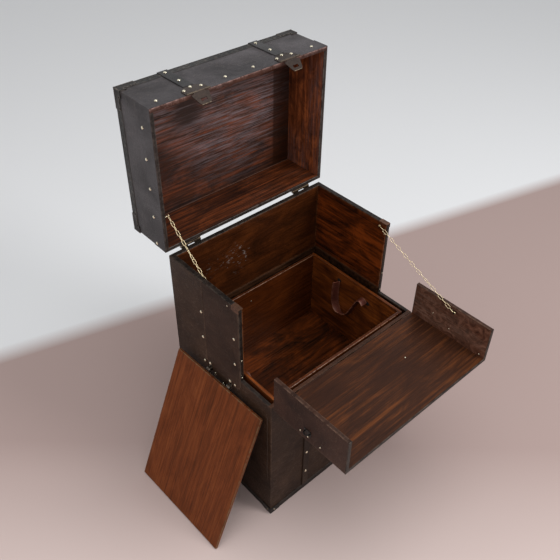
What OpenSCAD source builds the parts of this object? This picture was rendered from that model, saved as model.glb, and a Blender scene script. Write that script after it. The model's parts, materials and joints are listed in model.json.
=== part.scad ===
// Wardrobe trunk with a drop-front flap, a box lid, a lift-out tray and a loose board.
// Millimetres. X to the right as seen from the front, Y to the back, Z up.
// The origin is the centre of the case's underside. It is drawn open: lid up, flap down.

/* [Case] */
// Outside width of the case
case_w = 620; // [560:10:700]
// Outside depth of the case
case_d = 460; // [420:5:540]
// Height of the rim at the back
case_h = 834; // [780:2:900]
// Height of the low front, where the flap folds out
front_h = 548; // [500:2:600]
// Depth of the low front part, which the flap's wings cover
step_d = 136; // [110:1:170]
// Thickness of the wooden boards of case, lid and flap
board_t = 10; // [8:0.5:12]
// Thickness of the leather skin
skin_t = 2; // [1.5:0.25:3]
// Thickness of the floor board
floor_t = 12; // [8:1:18]
// Thickness of the leather binding over cut edges
bind_t = 2; // [1:0.5:3]
// Height of the leather binding round the foot
foot_bind_h = 26; // [18:1:34]
// Thickness of leather laid over the skin, such as bands and overlaps
over_t = 1; // [0.5:0.25:2]
// Gap from a carry handle's rear mount to the overlap seam on the sides
seam_gap = 6; // [3:1:30]

/* [Liner and ledges] */
// Thickness of the liner panels inside the upper part
liner_t = 4; // [3:0.5:5]
// Height of the recess between the low front's level and the liner
liner_rise = 26; // [16:1:50]
// Width of the ledges that carry the tray
ledge_w = 22; // [18:1:30]
// Height of the ledges that carry the tray
ledge_h = 18; // [12:1:26]

/* [Lid] */
// Outside height of the lid
lid_h = 164; // [130:2:200]
// How far the lid's sides stand out past the case's sides
lid_over = 8; // [0:0.5:10]
// Gap between the closed lid's rim and the case's rim
lid_gap = 0.6; // [0.4:0.1:1.5]
// Height of the leather band round the lid's rim
lid_band_h = 58; // [48:1:70]
// Width of the embossed edging on each face along the lid's top edges
edging_w = 24; // [16:1:32]
// Thickness of the embossed edging
edging_t = 1.5; // [1:0.25:2.5]
// Length of a lid corner protector along each edge
lid_corner_l = 62; // [45:1:80]
// Thickness of a lid corner protector over the edging
lid_corner_t = 1.2; // [0.8:0.2:2]

/* [Straps] */
// Distance of the straps from the middle
strap_x = 164; // [140:2:190]
// Width of the straps on the lid
lid_strap_w = 34; // [26:1:40]
// Distance of the case's straps from the middle
case_strap_x = 156; // [130:2:190]
// Width of the straps on case and flap
case_strap_w = 26; // [18:1:32]
// Thickness of the straps over the skin
strap_t = 3.5; // [3:0.25:5]

/* [Hasps] */
// Width of a hasp's plate
hasp_w = 76; // [64:1:90]
// Height of a hasp's plate
hasp_h = 40; // [34:1:46]
// Thickness of hasp metal
hasp_t = 2; // [1.5:0.25:2.5]
// Width of a hasp's tongue near its pin
tongue_w = 58; // [50:1:60]
// Width of a hasp's tongue at its end
tongue_end_w = 38; // [34:1:48]
// Length of a hasp's tongue from its pin
tongue_l = 42; // [36:1:50]
// How far a hasp's tongue stands out from hanging straight, in degrees, while the lid is open
tongue_rest = 57; // [0:1:60]
// Distance from a tongue's end to the middle of its slot
slot_in = 14; // [12:1:16]
// Radius of a hasp's pin
hasp_pin_r = 1.2; // [1:0.1:1.4]
// Width of a catch plate
catch_w = 50; // [44:1:60]
// Height of a catch plate
catch_h = 46; // [44:1:60]

/* [Hinges] */
// Radius of a hinge pin
pin_r = 2; // [1.6:0.1:2.2]
// Radial clearance of a pin in its knuckle
pin_fit = 0.05; // [0.02:0.01:0.1]
// Length of a lid hinge along its pin
lid_hinge_l = 72; // [60:2:90]
// Distance of the lid hinges from the middle
lid_hinge_x = 228; // [180:2:240]
// Height of a lid hinge's leaf
lid_leaf_h = 46; // [36:1:60]
// Distance of the lid hinge's pin behind the case
lid_pin_off = 6; // [5.5:0.25:7]
// Height of the lid hinge's pin over the case's rim
lid_pin_up = 4; // [3:0.25:5]
// Length of a flap hinge along its pin
flap_hinge_l = 64; // [50:2:80]
// Distance of the outer flap hinges from the middle
flap_hinge_x = 232; // [200:2:250]
// Height of a flap hinge's leaf
flap_leaf_h = 38; // [30:1:50]
// Distance of the flap hinge's pin from the front face and below the parting line
flap_pin_off = 4; // [3.75:0.25:4.5]
// Thickness of the hinge leaves
leaf_t = 1.6; // [1.2:0.1:2]
// Gap between the closed flap and the low front
flap_gap = 1; // [0.6:0.1:2]
// Gap between the closed flap's wings and the sides' cut edges
wing_gap = 2; // [1.8:0.1:3]

/* [Tray] */
// Gap on each side between the tray and the liner
tray_play_x = 8; // [7.5:0.5:11]
// Gap before and behind the tray
tray_play_y = 7; // [5:0.5:10]
// Height of the tray from its underside to its rim
tray_h = 286; // [240:1:300]
// How far the tray's rim stands over the low front's level
tray_rise = 2; // [0:0.5:6]
// Thickness of the tray's walls
tray_t = 11; // [8:0.5:13]
// Thickness of the tray's bottom
tray_floor_t = 8; // [6:0.5:12]
// Width of the tray's leather pull straps
pull_w = 28; // [20:1:32]
// Thickness of the tray's leather pull straps
pull_t = 3.5; // [2.5:0.25:5]
// Distance between the two ends of a pull strap
pull_span = 136; // [110:1:160]
// Drop of a pull strap below its ends
pull_drop = 128; // [90:1:150]
// Depth of a pull strap's ends below the tray's rim
pull_top = 38; // [34:1:60]

/* [Loose board] */
// Gap on each side of the loose board when it lies in the tray
panel_play = 1; // [0.5:0.5:10]
// Length of the loose board
panel_l = 524; // [506:2:546]
// Thickness of the loose board
panel_t = 9; // [7:0.5:12]
// Turn of the loose board away from the case's side, in degrees
panel_turn = 1.4; // [0:0.1:3]
// Place of the loose board's middle along the depth
panel_y = -12; // [-30:1:30]

/* [Carry handles] */
// Distance between the two ends of a carry handle
handle_span = 98; // [86:1:120]
// Height of a carry handle's pivot
handle_z = 484; // [470:1:494]
// Place of the carry handles from the middle of the depth
handle_y = 8; // [-10:1:20]
// Drop of a carry handle below its pivot
handle_drop = 36; // [32:1:42]
// Width of a carry handle's leather
handle_w = 22; // [18:1:26]
// Thickness of a carry handle's leather
handle_t = 6; // [4.5:0.5:7]
// Radius of a carry handle's pivot pin
handle_pin_r = 2; // [1.5:0.1:2.2]

/* [Chains] */
// Thickness of a chain's links
link_t = 2; // [1.6:0.1:2]
// Width of a chain's links
link_w = 9; // [7:0.5:10]
// Width of the wire that the links are bent from
wire_w = 2.2; // [1.8:0.1:2.4]
// Wanted distance from link to link
link_pitch = 15; // [12:0.5:18]
// Lid chain's lower end, from the middle of the depth
lid_chain_y = 74; // [50:1:90]
// Lid chain's lower end, below the rim
lid_chain_drop = 20; // [16:1:30]
// Lid chain's upper end, from the lid's hinge pin towards the front
lid_chain_reach = 120; // [100:1:140]
// Lid chain's upper end, above the lid's hinge pin when closed
lid_chain_rise = 9; // [7:1:20]
// Flap chain's upper end, behind the cut edge of the side
flap_chain_back = 25; // [20:1:40]
// Flap chain's upper end, below the rim
flap_chain_drop = 14; // [12:1:24]
// Flap chain's lower end, from the flap's hinge pin
flap_chain_reach = 160; // [140:1:180]
// Flap chain's lower end, below the wing's open edge
flap_chain_in = 14; // [12:1:24]
// Share of the lid chain that hangs from the case
lid_chain_share = 0.42; // [0.4:0.01:0.6]
// Share of the flap chain that hangs from the case
flap_chain_share = 0.654; // [0.5:0.01:0.7]

/* [Nails] */
// Radius of a nail's head
nail_r = 5; // [4:0.25:6]
// Height of a nail's head
nail_h = 2.4; // [1.6:0.2:3]
// Radius of a small tack's head
tack_r = 2.6; // [2:0.2:3.4]
// Height of a small tack's head
tack_h = 1.4; // [0.8:0.2:1.6]
// Distance from nail to nail along an edge
nail_step = 104; // [90:1:130]

/* [Hidden] */
$fn = 32;

// The case
half_w = case_w / 2;
half_d = case_d / 2;
wall = skin_t + board_t;
in_x = half_w - wall;
in_y = half_d - wall;
liner_x = in_x - liner_t;
liner_y = in_y - liner_t;
step_y = -half_d + step_d;
liner_z = front_h + liner_rise;
skin_z = 1;
rest_gap = 0.3;
eps = 0.5;

// The lid, in its closed place
lid_half_w = half_w + lid_over;
lid_z = case_h + lid_gap;
lid_top = lid_z + lid_h;
lid_pin_y = half_d + lid_pin_off;
lid_pin_z = case_h + lid_pin_up;
lid_open = 90;
lid_in_x = lid_half_w - wall;

// The flap, in its closed place
flap_pin_y = -half_d - flap_pin_off;
flap_pin_z = front_h - flap_pin_off;
flap_open = 90;
flap_z = front_h + flap_gap;
flap_h = case_h - flap_z;
wing_y = step_y - wing_gap;

// Hinges and straps
lid_knuckle_r = 4.6;
flap_knuckle_r = 3.3;
strap_foot = foot_bind_h + eps;
strap_clear = 8;
leaf_play = 0.25;
pin_play = 0.2;
pin_head_h = 1.4;
pin_head_over = 1;
knuckle_root = 2;
knuckle_sink = 1;
pin_web = 0.6;
front_strap_top = flap_pin_z - flap_leaf_h - strap_clear;
back_strap_top = lid_pin_z - lid_leaf_h - strap_clear;

// The hasps, in the lid's closed place
hasp_pin_out = 2;
hasp_pin_drop = 3.2;
hasp_pin_y = -half_d - over_t - hasp_t - hasp_pin_out;
hasp_pin_z = lid_z - hasp_pin_drop;
hasp_knuckle_r = 2.8;
hasp_seg = hasp_w / 4;
tongue_gap = 0.4;
slot_drop = tongue_l - slot_in;
hasp_shoulder = 24;
hasp_strap_gap = 3;
catch_gap = 2;
catch_top = hasp_pin_z - hasp_knuckle_r - catch_gap;
staple_r = 7;
staple_wire = 1.8;
slot_play_w = 1;
slot_play_h = 2.8;
slot_half_w = staple_r + staple_wire + slot_play_w;
slot_half_h = staple_wire + slot_play_h;
tongue_round = 5;
tongue_neck = 5;
tongue_shoulder = 8;

// The tray
tray_w = 2 * (liner_x - tray_play_x);
tray_d = 2 * (in_y - tray_play_y);
tray_top = front_h + tray_rise;
tray_z = tray_top - tray_h;
tray_in_x = tray_w / 2 - tray_t;
tray_in_y = tray_d / 2 - tray_t;
ledge_z = tray_z - rest_gap;

// The carry handles
mount_out = 13.5;
handle_pin_out = 8;
handle_pin_x = half_w + handle_pin_out;
handle_eye_r = 5;
handle_eye_w = 8;
handle_gap = 0.5;
handle_leg = 11;
ear_t = 2;
mount_half = 8;
ear_half = 7;
mount_t = 1.2;
mount_rise = 30;
handle_rear = handle_y + handle_span / 2;
handle_front = handle_y - handle_span / 2;
seam_y = handle_rear + mount_half + seam_gap;
ear_out = handle_eye_w / 2 + handle_gap + ear_t;
handle_pin_over = 1;
handle_pin_l = 2 * (ear_out + handle_pin_over);

// The loose board leans on the front edge of the left handle's front mount
panel_w = 2 * (tray_in_y - panel_play);
panel_lean = asin((handle_z - rest_gap) / panel_l);
panel_slew = (handle_pin_l / 2 + panel_y - handle_front) * sin(panel_turn);
panel_x = half_w + mount_out + rest_gap + panel_slew;

// The chains: two thin layers beside the liner, so that the halves can cross
layer_gap = 0.3;
layer_step = 1.3;
outer_layer = liner_x - layer_gap - link_t;
inner_layer = outer_layer - layer_step - link_t;
stud_r = 2;
stud_head_r = 3.4;
stud_head_h = 0.7;
stud_tip = 0.1;
eye_r = 4.4;
tip_gap = 0.4;
lid_chain_a = [lid_chain_y, case_h - lid_chain_drop];
lid_chain_b = [lid_pin_y + lid_chain_rise, lid_pin_z + lid_chain_reach];
flap_chain_a = [step_y + flap_chain_back, case_h - flap_chain_drop];
flap_chain_b = [flap_pin_y - flap_chain_reach, flap_pin_z - flap_pin_y + wing_y - flap_chain_in];

// The pull straps' route: share of the span from the middle, share of the drop
pull_route = [[0.5, 0], [0.51, 0.45], [0.46, 0.82], [0.27, 1], [0.03, 0.86], [-0.15, 0.45],
              [-0.28, 0.12], [-0.4, 0.03], [-0.5, 0.12]];
pull_steps = 5;

// Fittings and the places of nails
foot_corner_l = 38;
foot_corner_t = 1.6;
rim_corner_l = 32;
rim_corner_h = 16;
nail_first = 128;
seam_nail_in = 14;
front_nail_in = 26;
step_tack_rise = 12;
step_tack_step = 72;
rim_tack_in = 18;
foot_tack_in = 14;
mount_nail_rise = 22;
grip_nails = [[27, -8], [-13, -22]];
strap_nail_foot = 100;
strap_nail_in = 16;
lid_side_nail_z = 43;
lid_side_nail_step = 95;
lid_rim_nail_z = 28;
lid_rim_nail_in = 40;
lid_rim_nail_mid = 50;
lid_back_nail_in = 12;
lid_top_nail_step = 100;
hasp_nail_x = 28;
hasp_nail_drop = 4;
catch_tack_rise = 8;
wing_nail_in = 19;
// Places of nails on the flap, as shares of its height, of a wing's depth and of the case's half width
wing_tacks = [0.39, 0.495, 0.663];
inner_wing_tacks = [[0.46, 0.277], [0.3, 0.509], [0.15, 0.93]];
panel_tack = [0.4, 0.421];
flap_strap_nail = 0.316;
// Places of tacks along the tray's back wall, as shares of half its length
tray_tacks = [-0.09];
tray_tack_drop = 50;
loop_r = 10;
loop_plate = 4;
loop_in = 38;
loop_up = 144.5;

// A box given by its lowest and highest corners
module span(lo, hi) {
    translate(lo) cube(hi - lo);
}

// A plate drawn in the side view, from x0 to x1
module plate_x(x0, x1) {
    translate([x0, 0, 0]) rotate([90, 0, 90]) linear_extrude(x1 - x0) children();
}

// The same on both sides
module both_sides() {
    children();
    mirror([1, 0, 0]) children();
}

// Turns what is drawn closed to its open place
module lid_opened() {
    translate([0, lid_pin_y, lid_pin_z]) rotate([-lid_open, 0, 0])
        translate([0, -lid_pin_y, -lid_pin_z]) children();
}

module flap_opened() {
    translate([0, flap_pin_y, flap_pin_z]) rotate([flap_open, 0, 0])
        translate([0, -flap_pin_y, -flap_pin_z]) children();
}

// A domed nail head that stands on the plane z = 0
module nail(r = nail_r, h = nail_h) {
    rotate_extrude()
        polygon([[0, 0], [r, 0], [r * 0.9, h * 0.45], [r * 0.55, h * 0.85], [r * 0.2, h], [0, h]]);
}

// Nails and tacks at a place, with the head towards +X, -Y or +Y
module head(small) {
    if (small) nail(tack_r, tack_h);
    else nail();
}

module nail_out(x, y, z, small = false) {
    translate([x, y, z]) rotate([0, 90, 0]) head(small);
}

module nail_front(x, y, z, small = false) {
    translate([x, y, z]) rotate([90, 0, 0]) head(small);
}

module nail_back(x, y, z, small = false) {
    translate([x, y, z]) rotate([-90, 0, 0]) head(small);
}

// The case

// Outline of a side board, inside the skins of front and back
module side_outline(y_in, top_in, low_in) {
    polygon([[-half_d + y_in, 0], [half_d - y_in, 0], [half_d - y_in, case_h - top_in],
             [step_y + low_in, case_h - top_in], [step_y + low_in, front_h - low_in],
             [-half_d + y_in, front_h - low_in]]);
}

module floor_board() {
    color("#4a2a1c") span([-in_x, -in_y, 0], [in_x, in_y, floor_t]);
}

module front_board() {
    color("#4a2a1c") span([-in_x, -half_d + skin_t, 0], [in_x, -in_y, front_h - bind_t]);
}

module back_board() {
    color("#4a2a1c") span([-in_x, in_y, 0], [in_x, half_d - skin_t, case_h - bind_t]);
}

module side_board() {
    plate_x(in_x, half_w - skin_t) side_outline(skin_t, bind_t, bind_t);
}

module left_board() {
    color("#4a2a1c") mirror([1, 0, 0]) side_board();
}

module right_board() {
    color("#4a2a1c") side_board();
}

module case_skin() {
    color("#33251f") {
        both_sides()
            plate_x(half_w - skin_t, half_w)
                intersection() {
                    side_outline(0, bind_t, bind_t);
                    translate([-half_d, skin_z]) square([case_d, case_h]);
                }
        span([-half_w + skin_t, -half_d, skin_z], [half_w - skin_t, -half_d + skin_t, front_h - bind_t]);
        span([-half_w + skin_t, half_d - skin_t, skin_z], [half_w - skin_t, half_d, case_h - bind_t]);
    }
}

// The rear piece of leather on each side, which laps over the front piece
module side_overlaps() {
    color("#3b2a22") both_sides()
        span([half_w, seam_y, foot_bind_h], [half_w + over_t, half_d, case_h - bind_t]);
}

module liner_back() {
    color("#5c3018") span([-liner_x, liner_y, liner_z], [liner_x, in_y, case_h - bind_t]);
}

module liner_side() {
    span([liner_x, step_y + bind_t, liner_z], [in_x, in_y, case_h - bind_t]);
}

module liner_left() {
    color("#5c3018") mirror([1, 0, 0]) liner_side();
}

module liner_right() {
    color("#5c3018") liner_side();
}

// Leather over the cut edges: the rim, the sides' front edges and the low front's edges
module case_binding() {
    color("#241a16") {
        difference() {
            span([-half_w, step_y, case_h - bind_t], [half_w, half_d, case_h]);
            span([-liner_x, step_y - 1, case_h - bind_t - 1], [liner_x, liner_y, case_h + 1]);
            both_sides()
                span([liner_x - 1, step_y - 1, case_h - bind_t - 1],
                     [half_w + 1, step_y + rim_corner_l, case_h + 1]);
        }
        both_sides()
            span([in_x, step_y, front_h], [half_w, step_y + bind_t, case_h - bind_t]);
        difference() {
            span([-half_w, -half_d, front_h - bind_t], [half_w, step_y + bind_t, front_h]);
            span([-in_x, -in_y, front_h - bind_t - 1], [in_x, half_d, front_h + 1]);
        }
    }
}

// The dark leather strip round the foot
module foot_binding() {
    color("#241a16") difference() {
        span([-half_w - over_t, -half_d - over_t, eps], [half_w + over_t, half_d + over_t, foot_bind_h]);
        span([-half_w, -half_d, -1], [half_w, half_d, foot_bind_h + 1]);
    }
}

module foot_corner() {
    translate([half_w + over_t, half_d + over_t, eps]) difference() {
        span([-foot_corner_l, -foot_corner_l, 0], [foot_corner_t, foot_corner_t, foot_bind_h - eps]);
        span([-foot_corner_l - 1, -foot_corner_l - 1, -1], [0, 0, foot_bind_h]);
    }
}

module foot_corners() {
    color("#3a3430") both_sides() {
        foot_corner();
        mirror([0, 1, 0]) foot_corner();
    }
}

// Metal pieces that cap the front corners of the rim
module rim_corners() {
    color("#8c7a5c") both_sides() {
        span([liner_x, step_y, case_h - bind_t], [half_w, step_y + rim_corner_l, case_h]);
        span([half_w, step_y, case_h - rim_corner_h], [half_w + over_t, step_y + rim_corner_l, case_h]);
    }
}

// Straps down the front and the back of the case, which end below the hinges
module case_straps() {
    color("#2c201b") for (side = [-1, 1]) translate([side * case_strap_x - case_strap_w / 2, 0, 0]) {
        span([0, -half_d - strap_t, strap_foot], [case_strap_w, -half_d, front_strap_top]);
        span([0, half_d, strap_foot], [case_strap_w, half_d + strap_t, back_strap_top]);
    }
}

// Ledges under the tray, along both sides and the back
module tray_ledges() {
    color("#4a2a1c") {
        both_sides()
            span([in_x - ledge_w, -in_y, ledge_z - ledge_h], [in_x, in_y, ledge_z]);
        span([-in_x + ledge_w, in_y - ledge_w, ledge_z - ledge_h], [in_x - ledge_w, in_y, ledge_z]);
    }
}

module side_nails() {
    for (z = [case_h - nail_first:-nail_step:foot_bind_h + 3 * nail_r])
        nail_out(half_w + over_t, seam_y + seam_nail_in, z);
    for (z = [case_h - nail_first, case_h - nail_first - nail_step])
        nail_out(half_w, step_y + front_nail_in, z);
    for (i = [0, 1])
        nail_front(half_w - wall / 2, step_y, front_h + step_tack_rise + i * step_tack_step, true);
    nail_out(half_w, step_y + rim_corner_l + rim_tack_in, case_h - rim_corner_h, true);
    nail_out(half_w + mount_t, handle_rear, handle_z + mount_nail_rise);
    nail_out(half_w + mount_t, handle_front, handle_z + mount_nail_rise);
    nail_out(half_w, handle_front - 3 * nail_r - mount_half, handle_z + mount_nail_rise);
    for (p = grip_nails) nail_out(half_w, handle_y + p[0], handle_z + p[1]);
}

module foot_nails() {
    for (side = [-1, 1]) {
        nail_out(half_w + over_t + foot_corner_t, side * (half_d - foot_tack_in), foot_bind_h / 2, true);
        nail_front(side * (half_w - foot_tack_in), -half_d - over_t - foot_corner_t, foot_bind_h / 2, true);
    }
}

module case_nails() {
    color("#c9a865") {
        both_sides() side_nails();
        both_sides() foot_nails();
        for (side = [-1, 1]) {
            for (z = [strap_nail_foot:nail_step:front_strap_top - strap_nail_in])
                nail_front(side * case_strap_x, -half_d - strap_t, z);
            for (z = [strap_nail_foot:nail_step:back_strap_top - strap_nail_in])
                nail_back(side * case_strap_x, half_d + strap_t, z);
        }
    }
}

// Hinges. The face is y = 0 with the outside towards +Y, the pin runs along X at [off, 0].
// Three knuckles share the length: the outer two on one leaf, the middle one on the other.
module knuckle(x0, x1, off, r, bore) {
    translate([x0, off, 0]) rotate([0, 90, 0]) difference() {
        cylinder(r = r, h = x1 - x0);
        translate([0, 0, -1]) cylinder(r = bore, h = x1 - x0 + 2);
    }
}

// A leaf that goes down from the pin. The middle one has its knuckle in the middle.
module leaf(len, off, r, height, middle, lift) {
    seg = len / 3;
    spans = middle ? [[-seg / 2 + leaf_play, seg / 2 - leaf_play]]
                   : [[-len / 2, -seg / 2 - leaf_play], [seg / 2 + leaf_play, len / 2]];
    difference() {
        union() {
            span([-len / 2, 0, -height], [len / 2, leaf_t, -r - lift]);
            for (s = spans) {
                knuckle(s[0], s[1], off, r, pin_r + pin_fit);
                span([s[0], leaf_t / 4, -r - lift - knuckle_root], [s[1], leaf_t, -r + knuckle_sink]);
                span([s[0], leaf_t / 4, -r], [s[1], off - pin_r - pin_web, 0]);
            }
        }
        translate([-len, off, 0]) rotate([0, 90, 0]) cylinder(r = pin_r + pin_fit, h = 2 * len);
    }
}

module hinge_pin(len) {
    end = len / 2 + pin_play;
    translate([-end, 0, 0]) rotate([0, 90, 0]) cylinder(r = pin_r, h = 2 * end);
    for (side = [-1, 1])
        translate([side * end, 0, 0]) rotate([0, side * 90, 0])
            cylinder(r = pin_r + pin_head_over, h = pin_head_h);
}

module at_lid_hinges() {
    for (side = [-1, 1]) translate([side * lid_hinge_x, half_d, lid_pin_z]) children();
}

module at_flap_hinges() {
    for (x = [-flap_hinge_x, 0, flap_hinge_x])
        translate([x, -half_d, flap_pin_z]) rotate([0, 0, 180]) children();
}

module lid_hinge_leaves() {
    color("#6b5a3c") at_lid_hinges() leaf(lid_hinge_l, lid_pin_off, lid_knuckle_r, lid_leaf_h, false, 1);
}

module lid_leaves() {
    color("#6b5a3c") lid_opened() at_lid_hinges() mirror([0, 0, 1])
        leaf(lid_hinge_l, lid_pin_off, lid_knuckle_r, lid_leaf_h, true, 1);
}

module flap_hinge_leaves() {
    color("#6b5a3c") at_flap_hinges()
        leaf(flap_hinge_l, flap_pin_off, flap_knuckle_r, flap_leaf_h, false, 0.5);
}

module hinge_pins() {
    color("#8c7a5c") {
        at_lid_hinges() translate([0, lid_pin_off, 0]) hinge_pin(lid_hinge_l);
        at_flap_hinges() translate([0, flap_pin_off, 0]) hinge_pin(flap_hinge_l);
    }
}

module flap_leaves() {
    lift = flap_pin_off + flap_gap - flap_knuckle_r + eps;
    color("#6b5a3c") flap_opened() at_flap_hinges() mirror([0, 0, 1])
        leaf(flap_hinge_l, flap_pin_off, flap_knuckle_r, flap_leaf_h, true, lift);
}

// The lid, drawn closed
module lid_box(grow = 0) {
    span([-lid_half_w - grow, -half_d - grow, lid_z], [lid_half_w + grow, half_d + grow, lid_top + grow]);
}

module lid_top_board() {
    color("#4a2a1c") lid_opened()
        span([-lid_half_w + skin_t, -half_d + skin_t, lid_top - wall],
             [lid_half_w - skin_t, half_d - skin_t, lid_top - skin_t]);
}

module lid_front_board() {
    color("#4a2a1c") lid_opened()
        span([-lid_in_x, -half_d + skin_t, lid_z + bind_t], [lid_in_x, -in_y, lid_top - wall]);
}

module lid_back_board() {
    color("#4a2a1c") lid_opened()
        span([-lid_in_x, in_y, lid_z + bind_t], [lid_in_x, half_d - skin_t, lid_top - wall]);
}

module lid_side() {
    span([lid_in_x, -half_d + skin_t, lid_z + bind_t],
         [lid_half_w - skin_t, half_d - skin_t, lid_top - wall]);
}

module lid_left_board() {
    color("#4a2a1c") lid_opened() mirror([1, 0, 0]) lid_side();
}

module lid_right_board() {
    color("#4a2a1c") lid_opened() lid_side();
}

module lid_skin() {
    color("#3a3634") lid_opened() difference() {
        span([-lid_half_w, -half_d, lid_z + bind_t], [lid_half_w, half_d, lid_top]);
        span([-lid_half_w + skin_t, -half_d + skin_t, lid_z - 1],
             [lid_half_w - skin_t, half_d - skin_t, lid_top - skin_t]);
    }
}

module lid_binding() {
    color("#241a16") lid_opened() difference() {
        span([-lid_half_w, -half_d, lid_z], [lid_half_w, half_d, lid_z + bind_t]);
        span([-lid_in_x, -in_y, lid_z - 1], [lid_in_x, in_y, lid_z + bind_t + 1]);
    }
}

module band_shape() {
    difference() {
        span([-lid_half_w - over_t, -half_d - over_t, lid_z + eps],
             [lid_half_w + over_t, half_d, lid_z + lid_band_h]);
        span([-lid_half_w, -half_d, lid_z - 1], [lid_half_w, half_d + 1, lid_z + lid_band_h + 1]);
    }
}

module lid_band() {
    color("#322c2a") lid_opened() band_shape();
}

// Outside of the embossed edging along the lid's top edges
module edging_shape(t = edging_t, w = edging_w) {
    difference() {
        span([-lid_half_w - t, -half_d - t, lid_top - w], [lid_half_w + t, half_d + t, lid_top + t]);
        span([-lid_half_w, -half_d, lid_z], [lid_half_w, half_d, lid_top]);
        span([-lid_half_w + w, -half_d + w, lid_z], [lid_half_w - w, half_d - w, lid_top + t + 1]);
    }
}

module lid_edging() {
    color("#3f3833") lid_opened() edging_shape();
}

// Corner protectors over the edging, on three faces each
module lid_corner() {
    reach = edging_t + lid_corner_t;
    difference() {
        span([lid_half_w - lid_corner_l, half_d - lid_corner_l, lid_top - edging_w],
             [lid_half_w + reach, half_d + reach, lid_top + reach]);
        span([0, 0, lid_z], [lid_half_w + edging_t, half_d + edging_t, lid_top + edging_t]);
        span([0, 0, lid_z], [lid_half_w - edging_w, half_d - edging_w, lid_top + reach + 1]);
    }
}

module lid_corners() {
    color("#57493a") lid_opened() both_sides() {
        lid_corner();
        mirror([0, 1, 0]) lid_corner();
    }
}

// Straps over the lid, from the hasps to the back, laid over band and edging
module lid_straps() {
    low_front = lid_z + over_t + hasp_h + hasp_strap_gap;
    low_back = lid_z + lid_leaf_h + strap_clear;
    color("#2c2624") lid_opened() for (side = [-1, 1]) difference() {
        union() {
            span([side * strap_x - lid_strap_w / 2, -half_d - strap_t, low_front],
                 [side * strap_x + lid_strap_w / 2, 0, lid_top + strap_t]);
            span([side * strap_x - lid_strap_w / 2, -1, low_back],
                 [side * strap_x + lid_strap_w / 2, half_d + strap_t, lid_top + strap_t]);
        }
        lid_box();
        band_shape();
        edging_shape();
    }
}

module lid_nails() {
    front_y = -half_d - over_t;
    strap_top_z = lid_top - edging_w / 2;
    color("#c9a865") lid_opened() both_sides() {
        for (y = [half_d - lid_back_nail_in:-lid_side_nail_step:-half_d + 2 * nail_r])
            nail_out(lid_half_w + over_t, y, lid_z + lid_side_nail_z);
        for (x = [lid_half_w - lid_rim_nail_in, lid_rim_nail_mid])
            nail_front(x, front_y, lid_z + lid_rim_nail_z);
        for (side = [-1, 1])
            nail_front(strap_x + side * hasp_nail_x, front_y - hasp_t,
                       lid_z + lid_rim_nail_z - hasp_nail_drop);
        nail_front(strap_x, front_y - hasp_t, lid_z + hasp_h - nail_r);
        for (z = [lid_z + lid_band_h + lid_rim_nail_z, strap_top_z])
            nail_front(strap_x, -half_d - strap_t, z);
        for (z = [lid_z + lid_band_h + lid_back_nail_in, strap_top_z])
            nail_back(strap_x, half_d + strap_t, z);
        for (i = [-1.5:1:1.5]) translate([strap_x, i * lid_top_nail_step, lid_top + strap_t]) nail();
    }
}

// Hasps: a plate with two knuckles on the lid, a pin, and a tongue that swings on it
module hasp_plate() {
    front = -half_d - over_t;
    difference() {
        union() {
            rotate([90, 0, 0]) translate([0, 0, -front]) linear_extrude(hasp_t)
                polygon([[-hasp_w / 2, lid_z + 1], [hasp_w / 2, lid_z + 1],
                         [hasp_w / 2, lid_z + hasp_shoulder], [hasp_w / 4, lid_z + hasp_h],
                         [-hasp_w / 4, lid_z + hasp_h], [-hasp_w / 2, lid_z + hasp_shoulder]]);
            for (side = [-1, 1]) translate([side * hasp_seg * 1.5 - hasp_seg / 2, 0, 0])
                span([0, front - hasp_t, lid_z - hasp_pin_drop], [hasp_seg, front - hasp_t / 3, lid_z + 2]);
            for (side = [-1, 1]) translate([side * hasp_seg * 1.5 - hasp_seg / 2, hasp_pin_y, hasp_pin_z])
                rotate([0, 90, 0]) cylinder(r = hasp_knuckle_r, h = hasp_seg);
        }
        translate([-hasp_w, hasp_pin_y, hasp_pin_z]) rotate([0, 90, 0])
            cylinder(r = hasp_pin_r + pin_fit, h = 2 * hasp_w);
    }
}

module hasp_plates() {
    color("#6b5a3c") lid_opened() for (side = [-1, 1]) translate([side * strap_x, 0, 0]) hasp_plate();
}

module hasp_pins() {
    color("#8c7a5c") lid_opened() for (side = [-1, 1])
        translate([side * strap_x - hasp_w / 2, hasp_pin_y, hasp_pin_z])
            rotate([0, 90, 0]) cylinder(r = hasp_pin_r, h = hasp_w);
}

// A tongue, drawn where it stands while the lid is open
module tongue(side) {
    pin_y = lid_pin_y + hasp_pin_z - lid_pin_z;
    pin_z = lid_pin_z + lid_pin_y - hasp_pin_y;
    knuckle_l = 2 * hasp_seg - 2 * tongue_gap;
    half = [[knuckle_l / 2, -1], [knuckle_l / 2, -tongue_neck], [tongue_w / 2, -tongue_shoulder],
            [tongue_end_w / 2, -tongue_l + tongue_round], [tongue_end_w / 2 - tongue_round, -tongue_l]];
    translate([side * strap_x, pin_y, pin_z]) rotate([-tongue_rest, 0, 0]) difference() {
        union() {
            translate([-knuckle_l / 2, 0, 0]) rotate([0, 90, 0]) cylinder(r = hasp_knuckle_r, h = knuckle_l);
            rotate([90, 0, 0]) translate([0, 0, -hasp_t / 2]) linear_extrude(hasp_t)
                polygon(concat(half, [for (i = [len(half) - 1:-1:0]) [-half[i][0], half[i][1]]]));
        }
        translate([-hasp_w, 0, 0]) rotate([0, 90, 0]) cylinder(r = hasp_pin_r + pin_fit, h = 2 * hasp_w);
        span([-slot_half_w, -hasp_t, -slot_drop - slot_half_h],
             [slot_half_w, hasp_t, -slot_drop + slot_half_h]);
    }
}

module hasp_tongue_left() {
    color("#6b5a3c") tongue(-1);
}

module hasp_tongue_right() {
    color("#6b5a3c") tongue(1);
}

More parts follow.
